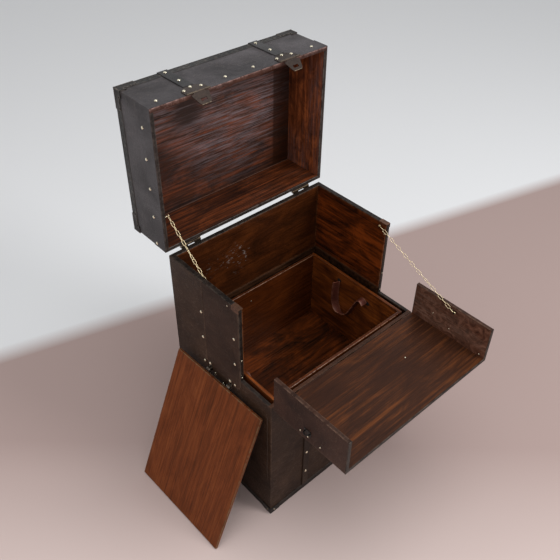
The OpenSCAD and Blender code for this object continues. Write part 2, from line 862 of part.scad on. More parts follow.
// The flap, drawn closed
module flap_panel() {
    color("#46291d") flap_opened()
        span([-in_x, -half_d + skin_t, flap_z + bind_t], [in_x, -in_y, case_h - bind_t]);
}

module flap_wings() {
    color("#46291d") flap_opened() both_sides()
        span([in_x, -half_d + skin_t, flap_z + bind_t], [half_w - skin_t, wing_y - bind_t, case_h - bind_t]);
}

module flap_skin() {
    color("#3a2a22") flap_opened() {
        span([-half_w + skin_t, -half_d, flap_z + bind_t],
             [half_w - skin_t, -half_d + skin_t, case_h - bind_t]);
        both_sides()
            span([half_w - skin_t, -half_d, flap_z + bind_t], [half_w, wing_y - bind_t, case_h - bind_t]);
    }
}

module flap_edge(z0) {
    difference() {
        span([-half_w, -half_d, z0], [half_w, wing_y, z0 + bind_t]);
        span([-in_x, -in_y, z0 - 1], [in_x, wing_y + 1, z0 + bind_t + 1]);
    }
}

module flap_binding() {
    color("#241a16") flap_opened() {
        flap_edge(flap_z);
        flap_edge(case_h - bind_t);
        both_sides()
            span([in_x, wing_y - bind_t, flap_z + bind_t], [half_w, wing_y, case_h - bind_t]);
    }
}

// A staple in the plane z = 0 that stands out towards -Y, rooted in a plate whose face is y = 0
module staple(r = staple_r) {
    intersection() {
        rotate_extrude() translate([r, 0]) circle(r = staple_wire);
        span([-2 * r, -2 * r, -r], [2 * r, over_t / 2, r]);
    }
}

module flap_straps() {
    color("#2c201b") flap_opened() for (side = [-1, 1]) translate([side * strap_x - case_strap_w / 2, 0, 0])
        span([0, -half_d - over_t, flap_pin_z + flap_leaf_h + strap_clear],
             [case_strap_w, -half_d, catch_top - catch_h]);
}

// Catch plates with staples for the hasps, the loop on the left wing, the chain's stud
module flap_fittings() {
    color("#6b5a3c") flap_opened() {
        for (side = [-1, 1]) translate([side * strap_x, 0, 0]) {
            span([-catch_w / 2, -half_d - over_t, catch_top - catch_h], [catch_w / 2, -half_d, catch_top]);
            translate([0, -half_d - over_t, hasp_pin_z - slot_drop]) staple();
        }
        translate([-half_w - over_t, -half_d + loop_in, flap_pin_z + loop_up]) {
            rotate([0, 0, -90]) rotate([0, 90, 0]) staple(loop_r);
            span([0, -loop_r, -loop_r - loop_plate], [over_t, loop_r, loop_r + loop_plate]);
        }
    }
    color("#c9a865") stud(flap_chain_b, in_x, inner_layer);
}

module flap_nails() {
    color("#c9a865") flap_opened() {
        both_sides() for (share = wing_tacks)
            nail_out(half_w, -half_d + wing_nail_in, flap_z + share * flap_h, true);
        nail_back(panel_tack[0] * half_w, -in_y, flap_z + panel_tack[1] * flap_h, true);
        for (p = inner_wing_tacks)
            translate([in_x, -half_d + p[0] * (half_d + wing_y), flap_z + p[1] * flap_h])
                rotate([0, -90, 0]) nail(tack_r, tack_h);
        for (side = [-1, 1]) {
            for (x = [-hasp_nail_x / 2, hasp_nail_x / 2])
                nail_front(side * strap_x + x, -half_d - over_t, catch_top - catch_h + catch_tack_rise, true);
            nail_front(side * strap_x, -half_d - over_t, flap_z + flap_strap_nail * flap_h);
        }
    }
}

// The tray
module tray_walls_long() {
    color("#5a2f1a") both_sides()
        span([tray_in_x, -tray_d / 2, tray_z], [tray_w / 2, tray_d / 2, tray_top]);
}

module tray_walls_short() {
    color("#5a2f1a") {
        span([-tray_in_x, -tray_d / 2, tray_z], [tray_in_x, -tray_in_y, tray_top]);
        span([-tray_in_x, tray_in_y, tray_z], [tray_in_x, tray_d / 2, tray_top]);
    }
}

module tray_bottom() {
    color("#5a2f1a") span([-tray_in_x, -tray_in_y, tray_z], [tray_in_x, tray_in_y, tray_z + tray_floor_t]);
}

// A smooth route through points, and the outline of a band of thickness t along it
function on_curve(p, i, u) =
    let (a = p[max(i - 1, 0)], b = p[i], c = p[i + 1], d = p[min(i + 2, len(p) - 1)])
    0.5 * (2 * b + (c - a) * u + (2 * a - 5 * b + 4 * c - d) * u * u + (3 * b - a - 3 * c + d) * u * u * u);

function smooth_route(p, n) =
    concat([for (i = [0:len(p) - 2]) for (k = [0:n - 1]) on_curve(p, i, k / n)], [p[len(p) - 1]]);

function route_side(r, i) =
    let (d = r[min(i + 1, len(r) - 1)] - r[max(i - 1, 0)]) [-d[1], d[0]] / norm(d);

module band(route, t) {
    last = len(route) - 1;
    left = [for (i = [0:last]) route[i] + route_side(route, i) * t / 2];
    right = [for (i = [last:-1:0]) route[i] - route_side(route, i) * t / 2];
    polygon(concat(left, right));
}

module tray_pulls() {
    route = [for (p = pull_route) [p[0] * pull_span, -p[1] * pull_drop]];
    color("#4a2a24") both_sides()
        plate_x(tray_in_x - pull_w, tray_in_x)
            translate([0, tray_top - pull_top]) band(smooth_route(route, pull_steps), pull_t);
}

module tray_nails() {
    color("#c9a865") for (share = tray_tacks)
        nail_front(share * tray_in_x, tray_in_y, tray_top - tray_tack_drop, true);
}

// The board that stands outside, leaning on the left side's handle mount
module loose_board() {
    color("#5f3120")
        translate([-panel_x - panel_l * cos(panel_lean), panel_y, rest_gap])
            rotate([0, 0, panel_turn])
                rotate([0, -panel_lean, 0])
                    span([0, -panel_w / 2, 0], [panel_l, panel_w / 2, panel_t]);
}

// Carry handles: mounts with two ears on the case, and a leather grip that swings on their pins
module handle_mount(y) {
    translate([0, y, handle_z]) {
        span([half_w, -mount_half, -mount_half], [half_w + mount_t, mount_half, mount_rise]);
        for (side = [-1, 1]) translate([0, side * (ear_out - ear_t / 2) + ear_t / 2, 0])
            rotate([90, 0, 0]) linear_extrude(ear_t) {
                translate([half_w + mount_t / 2, -ear_half])
                    square([handle_pin_x - half_w - mount_t / 2, 2 * ear_half]);
                translate([handle_pin_x, 0]) circle(r = half_w + mount_out - handle_pin_x);
            }
        translate([handle_pin_x, -handle_pin_l / 2, 0]) rotate([-90, 0, 0])
            cylinder(r = handle_pin_r, h = handle_pin_l);
    }
}

module handle_mounts() {
    color("#8c7a5c") both_sides() for (y = [handle_front, handle_rear]) handle_mount(y);
}

module carry_handle() {
    half = handle_span / 2;
    color("#2a1c17") translate([handle_pin_x, handle_y, handle_z]) difference() {
        union() {
            for (side = [-1, 1]) translate([0, side * half - handle_eye_w / 2, 0])
                rotate([-90, 0, 0]) cylinder(r = handle_eye_r, h = handle_eye_w);
            plate_x(-handle_t / 2, handle_t / 2) grip_outline(half, handle_eye_w / 2);
        }
        for (side = [-1, 1]) translate([0, side * half - handle_eye_w, 0])
            rotate([-90, 0, 0]) cylinder(r = handle_pin_r + pin_fit, h = 2 * handle_eye_w);
    }
}

// Side view of the grip: straight legs at the pins, one wide curve between them
module grip_outline(half, eye) {
    low = handle_drop - handle_leg;
    high = max(low - handle_w, 2);
    turn = [for (a = [0:9:180]) a];
    outer = [for (a = turn) [-(half + eye) * cos(a), -handle_leg - low * pow(sin(a), 0.7)]];
    inner = [for (i = [len(turn) - 1:-1:0])
             [-(half - eye) * cos(turn[i]), -handle_leg - high * sin(turn[i])]];
    polygon(concat([[-half - eye, 0]], outer, [[half + eye, 0], [half - eye, 0]], inner, [[-half + eye, 0]]));
}

module carry_handle_left() {
    mirror([1, 0, 0]) carry_handle();
}

module carry_handle_right() {
    carry_handle();
}

// Chains. Flat links in a row, with an eye on a stud at one end.
module chain_shape(len) {
    start = eye_r - wire_w / 2;
    count = round((len - start) / link_pitch);
    pitch = (len - tip_gap - start - wire_w / 2) / count;
    difference() {
        union() {
            circle(r = eye_r);
            for (i = [0:count - 1]) translate([start + i * pitch, 0]) link_outline(pitch, 0);
        }
        for (i = [0:count - 1]) translate([start + i * pitch, 0]) link_outline(pitch, wire_w);
        circle(r = stud_r + pin_fit);
    }
}

// A link's outline with round ends, drawn in by inset, and half a wire longer than its pitch
module link_outline(pitch, inset) {
    r = link_w / 2 - inset;
    x0 = -wire_w / 2 + link_w / 2;
    x1 = max(pitch + wire_w / 2 - link_w / 2, x0);
    for (x = [x0, x1]) translate([x, 0]) circle(r = r);
    if (x1 > x0) translate([x0, -r]) square([x1 - x0, 2 * r]);
}

module chain_half(from, to, share, layer) {
    whole = norm(to - from);
    turn = atan2(to[1] - from[1], to[0] - from[0]);
    plate_x(layer, layer + link_t)
        translate(from) rotate(turn) chain_shape(whole * share);
}

// A stud with a flat head, from the wall at x = wall_x to just past the layer's links
module stud(at, wall_x, layer) {
    tip = layer - stud_tip;
    translate([tip, at[0], at[1]]) rotate([0, 90, 0]) cylinder(r = stud_r, h = wall_x - tip);
    translate([tip - stud_head_h, at[0], at[1]]) rotate([0, 90, 0])
        cylinder(r = stud_head_r, h = stud_head_h);
}

module case_chain_studs() {
    color("#c9a865") {
        mirror([1, 0, 0]) stud(lid_chain_a, liner_x, outer_layer);
        stud(flap_chain_a, liner_x, outer_layer);
    }
}

module lid_chain_stud() {
    color("#c9a865") mirror([1, 0, 0]) stud(lid_chain_b, lid_in_x, inner_layer);
}

module lid_chain_lower() {
    color("#d8c9a0") mirror([1, 0, 0]) chain_half(lid_chain_a, lid_chain_b, lid_chain_share, outer_layer);
}

module lid_chain_upper() {
    color("#d8c9a0") mirror([1, 0, 0]) chain_half(lid_chain_b, lid_chain_a, 1 - lid_chain_share, inner_layer);
}

module flap_chain_upper() {
    color("#d8c9a0") chain_half(flap_chain_a, flap_chain_b, flap_chain_share, outer_layer);
}

module flap_chain_lower() {
    color("#d8c9a0") chain_half(flap_chain_b, flap_chain_a, 1 - flap_chain_share, inner_layer);
}

floor_board();
front_board();
back_board();
left_board();
right_board();
case_skin();
side_overlaps();
liner_back();
liner_left();
liner_right();
case_binding();
foot_binding();
foot_corners();
rim_corners();
case_straps();
tray_ledges();
case_nails();
lid_hinge_leaves();
flap_hinge_leaves();
hinge_pins();
case_chain_studs();
handle_mounts();
lid_top_board();
lid_front_board();
lid_back_board();
lid_left_board();
lid_right_board();
lid_skin();
lid_binding();
lid_band();
lid_edging();
lid_corners();
lid_straps();
lid_nails();
hasp_plates();
hasp_pins();
lid_leaves();
lid_chain_stud();
hasp_tongue_left();
hasp_tongue_right();
flap_panel();
flap_wings();
flap_skin();
flap_binding();
flap_straps();
flap_fittings();
flap_nails();
flap_leaves();
tray_walls_long();
tray_walls_short();
tray_bottom();
tray_pulls();
tray_nails();
loose_board();
carry_handle_left();
carry_handle_right();
lid_chain_lower();
lid_chain_upper();
flap_chain_upper();
flap_chain_lower();
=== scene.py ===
"""Wardrobe trunk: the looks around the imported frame. Lengths are millimetres unless a name ends in _m."""
import json
from math import asin, cos, pi, radians, sin, tau

import bpy
import numpy as np
from mathutils import Matrix, Vector
from numpy.linalg import norm


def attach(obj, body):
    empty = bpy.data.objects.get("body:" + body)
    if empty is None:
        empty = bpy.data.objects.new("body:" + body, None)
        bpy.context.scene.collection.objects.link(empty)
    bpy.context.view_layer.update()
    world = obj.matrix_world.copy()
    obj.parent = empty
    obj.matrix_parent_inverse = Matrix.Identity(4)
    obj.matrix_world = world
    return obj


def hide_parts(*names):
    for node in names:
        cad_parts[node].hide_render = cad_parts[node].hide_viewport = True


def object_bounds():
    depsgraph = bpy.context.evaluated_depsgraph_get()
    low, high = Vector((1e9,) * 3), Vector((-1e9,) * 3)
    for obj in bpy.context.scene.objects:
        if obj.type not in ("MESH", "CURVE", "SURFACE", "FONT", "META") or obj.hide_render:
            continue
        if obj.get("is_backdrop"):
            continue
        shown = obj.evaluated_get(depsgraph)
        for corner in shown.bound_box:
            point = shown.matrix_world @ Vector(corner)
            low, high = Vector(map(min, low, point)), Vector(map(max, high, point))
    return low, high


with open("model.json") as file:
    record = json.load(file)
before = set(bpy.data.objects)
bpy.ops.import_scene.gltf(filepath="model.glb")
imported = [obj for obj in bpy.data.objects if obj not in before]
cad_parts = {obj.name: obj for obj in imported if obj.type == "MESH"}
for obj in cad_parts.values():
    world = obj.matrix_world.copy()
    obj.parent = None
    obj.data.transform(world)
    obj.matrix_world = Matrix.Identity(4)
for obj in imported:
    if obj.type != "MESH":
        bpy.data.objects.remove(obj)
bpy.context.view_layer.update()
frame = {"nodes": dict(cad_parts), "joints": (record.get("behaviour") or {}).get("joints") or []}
nodes = frame["nodes"]
joints = {j["name"]: j for j in frame["joints"]}
MM = 0.001

# Sizes that repeat the part's own. The case and its liner:
HALF_W, HALF_D, CASE_H, FRONT_H, STEP_Y = 310, 230, 834, 548, -94
SKIN, IN_X, IN_Y, LINER_X, LINER_Y, LINER_Z = 2, 298, 218, 294, 214, 574
SKIN_X, SKIN_Y, SKIN_TOP, UPPER_Y = HALF_W - SKIN, HALF_D - SKIN, CASE_H - SKIN, STEP_Y + SKIN
SEAM_Y, FOOT_H, CAP_L = 71, 26, 32
# The lid, drawn closed, with its band, edging and corner protectors:
LID_W, LID_Z, LID_TOP, LID_IN_X, BAND_H = 318, 834.6, 998.6, 306, 58
EDGE_W, EDGE_T, CORNER_L, CORNER_T = 24, 1.5, 62, 1.2
LID_LOW, LID_SKIN_TOP, BAND_TOP = LID_Z + SKIN, LID_TOP - SKIN, LID_Z + BAND_H
# The straps on lid, case and flap:
STRAP_X, LID_STRAP_W, CASE_STRAP_X, CASE_STRAP_W, STRAP_T, FLAP_STRAP_T = 164, 34, 156, 26, 3.5, 1.0
FRONT_STRAP_TOP, BACK_STRAP_TOP, FLAP_STRAP_LOW, FLAP_STRAP_TOP = 498, 784, 590, 783.4
# The flap, drawn closed, and the tray:
FLAP_Z, WING_Y = 549, -96
TRAY_X, TRAY_Y, TRAY_IN_X, TRAY_IN_Y, TRAY_Z, TRAY_TOP = 286, 211, 275, 200, 264, 550
# The tray's pull straps, with their route and where they pass through the end boards:
PULL_SPAN, PULL_DROP, PULL_TOP, PULL_W, PULL_T = 136, 128, TRAY_TOP - 38, 28, 3.5
PULL_ROUTE = [(0.5, 0), (0.51, 0.45), (0.46, 0.82), (0.27, 1), (0.03, 0.86), (-0.15, 0.45), (-0.28, 0.12),
              (-0.4, 0.03), (-0.5, 0.12)]
# The carry handles and their mounts:
SPAN, DROP, LEG, EYE, GRIP_W, GRIP_T = 98, 36, 11, 4, 22, 6
PIN_X, HANDLE_Y, HANDLE_Z, HANDLE_FRONT, MOUNT_OUT, MOUNT_PIN_L = 318, 8, 484, -41, 13.5, 15
# The loose board, which leans on the left handle's front mount:
PANEL_L, PANEL_W, PANEL_T, PANEL_Y, PANEL_TURN, REST_GAP = 524, 398, 9, -12, 1.4, 0.3

OPEN = 1e6  # a side that a shape doesn't have
RUB = 2.5  # how far the wear of an edge reaches inwards


def turned(joint, degrees):
    """The matrix that opens what is drawn closed, about a hinge's pin."""
    pin = Vector(joints[joint]["pos_m"])
    turn = Matrix.Rotation(radians(degrees), 4, "X")
    return Matrix.Translation(pin) @ turn @ Matrix.Translation(-pin)


# Where a body's pieces go from how they are drawn: lid and flap shut here, and the loose board flat further down
PLACES = {"lid": turned("lid_hinge", -90), "flap": turned("flap_hinge", 90)}


# Mesh parts: each is (points, faces, wear), and wear says how rubbed a point is, from 0 to 1


def ticks(stops, step, fine=(0.5, 1.2, 2.2, 4.5, 7.5)):
    """Grid lines from the first stop to the last, closer together beside each stop."""
    stops = sorted(stops)
    lines = set(float(s) for s in stops)
    for a, b in zip(stops, stops[1:]):
        near = [f for f in fine if 2.2 * f < b - a]
        lines.update(a + f for f in near)
        lines.update(b - f for f in near)
        inner = near[-1] if near else 0
        count = max(int(round((b - a - 2 * inner) / step)), 1)
        lines.update(a + inner + (b - a - 2 * inner) * i / count for i in range(1, count))
    return np.array(sorted(lines))


def waves(u, v, size, seed):
    """Smooth unevenness from 0 to 1, with lumps of about the given size: three octaves of six waves."""
    draw = np.random.default_rng(seed)
    total = np.zeros(np.broadcast(u, v).shape)
    for octave in range(3):
        for _ in range(6):
            turn, phase = draw.uniform(0, tau, 2)
            k = tau / size * 2**octave * draw.uniform(0.6, 1.5)
            total += np.sin(k * (u * cos(turn) + v * sin(turn)) + phase) / 2**octave
    return np.clip(0.5 + total / 9, 0, 1)


def rect(u, v, u0=-OPEN, u1=OPEN, v0=-OPEN, v1=OPEN):
    """How far inside a rectangle a point lies."""
    return np.minimum(np.minimum(u - u0, u1 - u), np.minimum(v - v0, v1 - v))


def within(u0=-OPEN, u1=OPEN, v0=-OPEN, v1=OPEN):
    """A sheet's shape: the rectangle with these sides."""
    return lambda u, v: rect(u, v, u0, u1, v0, v1)


def everywhere(u, v):
    """A sheet's shape without an outline of its own, so that nothing is rounded or rubbed."""
    return np.full(np.broadcast(u, v).shape, 50.0)


# A grid cell's sides: the way to the cell across, and the side's first and second corner
CELL_SIDES = (((0, -1), (0, 0), (1, 0)), ((1, 0), (1, 0), (1, 1)),
              ((0, 1), (1, 1), (0, 1)), ((-1, 0), (0, 1), (0, 0)))


def sheet(axis, at, us, vs, top, shape=None, mirror=False, wear=0.0):
    """A layer on the plane across an axis such as "-y": top(u, v, d) is its height, d the way to its outline."""
    sign = -1 if axis[0] == "-" else 1
    letter = axis[-1]
    shape = shape or within(us[0], us[-1], vs[0], vs[-1])
    uu, vv = np.meshgrid(us, vs, indexing="ij")
    d = np.maximum(shape(uu, vv), 0)
    h = np.maximum(top(uu, vv, d), 0.05)
    keep = shape(*np.meshgrid((us[:-1] + us[1:]) / 2, (vs[:-1] + vs[1:]) / 2, indexing="ij")) > 0
    size = len(us) * len(vs)
    index = np.arange(size).reshape(len(us), len(vs))
    i, j = np.nonzero(keep)
    quad = np.stack([index[i, j], index[i + 1, j], index[i + 1, j + 1], index[i, j + 1]], 1)
    faces = [quad, quad[:, ::-1] + size]
    pad = np.pad(keep, 1)
    for (di, dj), a, b in CELL_SIDES:
        i, j = np.nonzero(keep & ~pad[1 + di:1 + di + keep.shape[0], 1 + dj:1 + dj + keep.shape[1]])
        first, second = index[i + a[0], j + a[1]], index[i + b[0], j + b[1]]
        faces.append(np.stack([second, first, first + size, second + size], 1))
    faces = np.concatenate(faces)
    # Some layers' faces, such as those of mirrored ones on x, are left pointing inwards
    if letter == "y" and sign > 0 and not mirror or letter != "y" and sign < 0 and mirror:
        faces = faces[:, ::-1]
    across = np.concatenate([sign * (at + h).ravel(), np.full(size, float(sign * at))])
    u2, v2 = np.tile(uu.ravel(), 2), np.tile(vv.ravel(), 2)
    points = np.stack({"x": (across, u2, v2), "y": (u2, across, v2), "z": (u2, v2, across)}[letter], 1)
    if mirror:
        points[:, 0] *= -1
    worn = wear(uu, vv, d) if callable(wear) else wear * np.exp(-d / RUB)
    worn = np.tile(np.broadcast_to(worn, uu.shape).ravel(), 2)
    used, packed = np.unique(faces, return_inverse=True)
    return points[used], packed.reshape(faces.shape).tolist(), worn[used]


def slab(low, high, r=1.0, step=40, lump=0.0, seed=1, wear=1.0, reach=RUB):
    """A board with eased edges."""
    low, high = np.array(low, float), np.array(high, float)
    fine = (0.3 * r, 0.65 * r, r, r + reach, r + 3 * reach)
    lines = [ticks([low[k], high[k]], step, fine) for k in range(3)]
    points, faces, count = [], [], 0
    for k in range(3):
        a, b = (k + 1) % 3, (k + 2) % 3
        for side in (0, 1):
            ga, gb = np.meshgrid(lines[a], lines[b], indexing="ij")
            p = np.zeros(ga.shape + (3,))
            p[..., a], p[..., b], p[..., k] = ga, gb, (low, high)[side][k]
            index = np.arange(ga.size).reshape(ga.shape) + count
            quad = np.stack([index[:-1, :-1], index[1:, :-1], index[1:, 1:], index[:-1, 1:]], -1).reshape(-1, 4)
            faces.append(quad if side else quad[:, ::-1])
            points.append(p.reshape(-1, 3))
            count += ga.size
    p, back = np.unique(np.round(np.concatenate(points), 4), axis=0, return_inverse=True)
    faces = back.reshape(-1)[np.concatenate(faces)]
    near = np.sort(np.minimum(p - low, high - p), axis=1)[:, 1]
    core = np.clip(p, low + r, high - r)
    out = p - core
    out /= np.maximum(norm(out, axis=1, keepdims=True), 1e-9)
    dent = lump * waves(p[:, 0] + 0.4 * p[:, 2], p[:, 1] - 0.3 * p[:, 2], 60, seed)
    return core + out * (r - dent[:, None]), faces.tolist(), wear * np.exp(-near / reach)


def bridge(a, b, k):
    """Faces between two rings of k points, which start at points a and b."""
    return [(a + j, a + (j + 1) % k, b + (j + 1) % k, b + j) for j in range(k)]


def tube(path, r, sides=8, closed=False):
    """A wire along a path."""
    path = np.array(path, float)
    count = len(path)
    ahead = np.roll(path, -1, 0) - np.roll(path, 1, 0) if closed else np.gradient(path, axis=0)
    ahead /= norm(ahead, axis=1, keepdims=True)
    side = np.cross(ahead[0], [0.31, 0.43, 0.85])
    turn = np.arange(sides) * tau / sides
    rings = []
    for i in range(count):
        side = side - ahead[i] * (side @ ahead[i])
        side /= norm(side)
        other = np.cross(ahead[i], side)
        rings.append(path[i] + r * (np.cos(turn)[:, None] * side + np.sin(turn)[:, None] * other))
    faces = []
    for i in range(count if closed else count - 1):
        faces += bridge(i * sides, (i + 1) % count * sides, sides)
    if not closed:
        faces += [tuple(range(sides))[::-1], tuple(range((count - 1) * sides, count * sides))]
    return np.concatenate(rings), faces, np.zeros(count * sides)


def sweep(path, section, side, wears):
    """A band along a path. The section's points are (along side, across it), and side may turn along the path."""
    path = np.array(path, float)
    ahead = np.gradient(path, axis=0)
    ahead /= norm(ahead, axis=1, keepdims=True)
    side = np.broadcast_to(np.array(side, float), path.shape)
    side = side - ahead * np.sum(side * ahead, axis=1, keepdims=True)
    side = side / norm(side, axis=1, keepdims=True)
    rings = [p + section[:, :1] * b + section[:, 1:] * np.cross(b, a) for p, a, b in zip(path, ahead, side)]
    k = len(section)
    faces = [tuple(range(k))[::-1], tuple(range((len(path) - 1) * k, len(path) * k))]
    for i in range(len(path) - 1):
        faces += bridge(i * k, (i + 1) * k, k)
    return np.concatenate(rings), faces, np.tile(wears, len(path))


def smooth(points, n):
    """A smooth route through points, with n steps between each two."""
    p = np.array(points, float)
    out = []
    for i in range(len(p) - 1):
        a, b, c, d = p[max(i - 1, 0)], p[i], p[i + 1], p[min(i + 2, len(p) - 1)]
        for u in np.arange(n) / n:
            square, cube = (2 * a - 5 * b + 4 * c - d) * u * u, (3 * b - a - 3 * c + d) * u**3
            out.append(0.5 * (2 * b + (c - a) * u + square + cube))
    return np.array(out + [p[-1]])


def add(name, data):
    """A new object in the scene."""
    obj = bpy.data.objects.new(name, data)
    bpy.context.scene.collection.objects.link(obj)
    return obj


def make(name, body, material, parts, replaces=(), sharp=42):
    """One piece from its parts, riding on a body."""
    points, faces, worn, count = [], [], [], 0
    for p, f, w in parts:
        points.append(p)
        faces += [tuple(i + count for i in face) for face in f]
        worn.append(w)
        count += len(p)
    mesh = bpy.data.meshes.new(name)
    mesh.from_pydata((np.concatenate(points) * MM).tolist(), [], faces)
    values = np.concatenate(worn).astype(np.float32)
    mesh.attributes.new("wear", "FLOAT", "POINT").data.foreach_set("value", values)
    mesh.polygons.foreach_set("use_smooth", np.ones(len(mesh.polygons), bool))
    mesh.set_sharp_from_angle(angle=radians(sharp))
    mesh.materials.append(M[material])
    obj = add(name, mesh)
    obj.matrix_world = PLACES.get(body, Matrix())
    bpy.context.view_layer.update()
    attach(obj, body)
    if replaces:
        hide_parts(*replaces)


def hide(t, r=2.0, lump=0.3, size=90, seed=1):
    """Height of leather of thickness t: round at its outline, uneven inside."""
    r = min(r, t)

    def top(u, v, d):
        e = np.clip(r - d, 0, r)
        return t - r + np.sqrt(r * r - e * e) - lump * waves(u, v, size, seed) * np.clip(d / 6, 0, 1)
    return top


def lay(axis, at, us, vs, top, shape=None, wear=0.0, twin=None):
    """Leather on a plane. us and vs are (step, stops...), and top is what hide takes.

    Where twin is given, a mirror image follows, and twin is added to its seed.
    """
    us, vs = ticks(us[1:], us[0]), ticks(vs[1:], vs[0])
    seeds = [top[-1]] if twin is None else [top[-1], top[-1] + twin]
    return [sheet(axis, at, us, vs, hide(*top[:-1], seed), shape, mirror == 1, wear)
            for mirror, seed in enumerate(seeds)]


# Materials, by name
M = {}


def rgb(code):
    """A colour written as #rrggbb, as the linear values that nodes take."""
    parts = [int(code[i:i + 2], 16) / 255 for i in (1, 3, 5)]
    return tuple(c / 12.92 if c <= 0.04045 else ((c + 0.055) / 1.055) ** 2.4 for c in parts) + (1.0,)


class Tree:
    """Shader nodes."""

    def __init__(self, tree):
        self.tree = tree

    def set(self, socket, value):
        """Links a socket, or gives it a constant."""
        if isinstance(value, bpy.types.NodeSocket):
            self.tree.links.new(value, socket)
        else:
            socket.default_value = value

    def node(self, kind, inputs, **settings):
        n = self.tree.nodes.new("ShaderNode" + kind)
        for key, value in settings.items():
            setattr(n, key, value)
        for key, value in inputs.items():
            self.set(n.inputs[key], value)
        return n

    def math(self, how, a, b=0.0, c=0.0, clamp=False):
        return self.node("Math", {0: a, 1: b, 2: c}, operation=how, use_clamp=clamp).outputs[0]


class Net(Tree):
    """A material's nodes."""

    def __init__(self, name, rough=0.5, metal=0.0, coat=0.0, coat_rough=0.12, spec=0.5):
        M[name] = bpy.data.materials.new(name)
        M[name].use_nodes = True
        super().__init__(M[name].node_tree)
        self.bsdf = next(n for n in self.tree.nodes if n.type == "BSDF_PRINCIPLED")
        for key, value in (("Roughness", rough), ("Metallic", metal), ("Coat Weight", coat),
                           ("Coat Roughness", coat_rough), ("Specular IOR Level", spec)):
            self.bsdf.inputs[key].default_value = value
        self.place = self.node("TexCoord", {}).outputs["Object"]

    def noise(self, size, detail=4, rough=0.55, bend=0.0, shift=0.0):
        """Noise with this many lumps a metre along X, Y and Z."""
        spot = self.node("Mapping", {"Vector": self.place, "Scale": size, "Location": (shift,) * 3})
        ins = {"Vector": spot.outputs[0], "Scale": 1.0, "Detail": detail, "Roughness": rough, "Distortion": bend}
        return self.node("TexNoise", ins).outputs["Fac"]

    def cells(self, size):
        """Rounded cells, this many a metre."""
        spot = self.node("Mapping", {"Vector": self.place, "Scale": (size,) * 3})
        return self.node("TexVoronoi", {"Vector": spot.outputs[0], "Scale": 1.0}).outputs["Distance"]

    def ramp(self, fac, stops):
        """Colours at their places along a factor."""
        n = self.node("ValToRGB", {"Fac": fac})
        elements = n.color_ramp.elements
        while len(elements) < len(stops):
            elements.new(1.0)
        for element, (at, colour) in zip(elements, stops):
            element.position, element.color = at, rgb(colour)
        return n.outputs["Color"]

    def mix(self, fac, a, b, blend="MIX"):
        n = self.tree.nodes.new("ShaderNodeMix")
        n.data_type, n.blend_type = "RGBA", blend
        for k, value in ((0, fac), (6, a), (7, b)):
            self.set(n.inputs[k], rgb(value) if isinstance(value, str) else value)
        return n.outputs[2]

    def by(self, a, b):
        return self.math("MULTIPLY", a, b)

    def by_clamped(self, a, b):
        """A product, kept from 0 to 1."""
        return self.math("MULTIPLY", a, b, clamp=True)

    def band(self, fac, low, high, to_low=0.0, to_high=1.0):
        ins = {"Value": fac, "From Min": low, "From Max": high, "To Min": to_low, "To Max": to_high}
        return self.node("MapRange", ins).outputs[0]

    def wear(self):
        return self.node("Attribute", {}, attribute_name="wear").outputs["Fac"]

    def away(self, place, centre):
        """A place's distance from a centre."""
        ins = {0: place, 1: tuple(c * MM for c in centre)}
        return self.node("VectorMath", ins, operation="DISTANCE").outputs["Value"]

    def near(self, centre, radius):
        """1 at a place, 0 from this far away."""
        return self.band(self.away(self.place, centre), 0.0, radius * MM, 1.0, 0.0)

    def beside(self, y, z, radius):
        """1 along a line that runs across the trunk, 0 from half as far again."""
        flat = self.node("VectorMath", {0: self.place, 1: (0, 1, 1)}, operation="MULTIPLY").outputs[0]
        return self.band(self.away(flat, (0, y, z)), radius * MM, 1.5 * radius * MM, 1.0, 0.0)

    def shaded(self, colour, value):
        """A colour made darker or brighter by a value."""
        return self.mix(1.0, colour, self.node("CombineColor", {0: value, 1: value, 2: value}).outputs[0], "MULTIPLY")

    def done(self, colour, rough, heights):
        """Connects colour, roughness and (height, depth) layers of relief."""
        self.set(self.bsdf.inputs["Base Color"], colour)
        self.set(self.bsdf.inputs["Roughness"], rough)
        normal = {}
        for height, depth in heights:
            ins = {"Height": height, "Distance": depth * MM, "Strength": 1.0, **normal}
            normal = {"Normal": self.node("Bump", ins).outputs[0]}
        if normal:
            self.set(self.bsdf.inputs["Normal"], normal["Normal"])


def stretch(grain, along, across):
    return tuple(along if axis == grain else across for axis in "xyz")


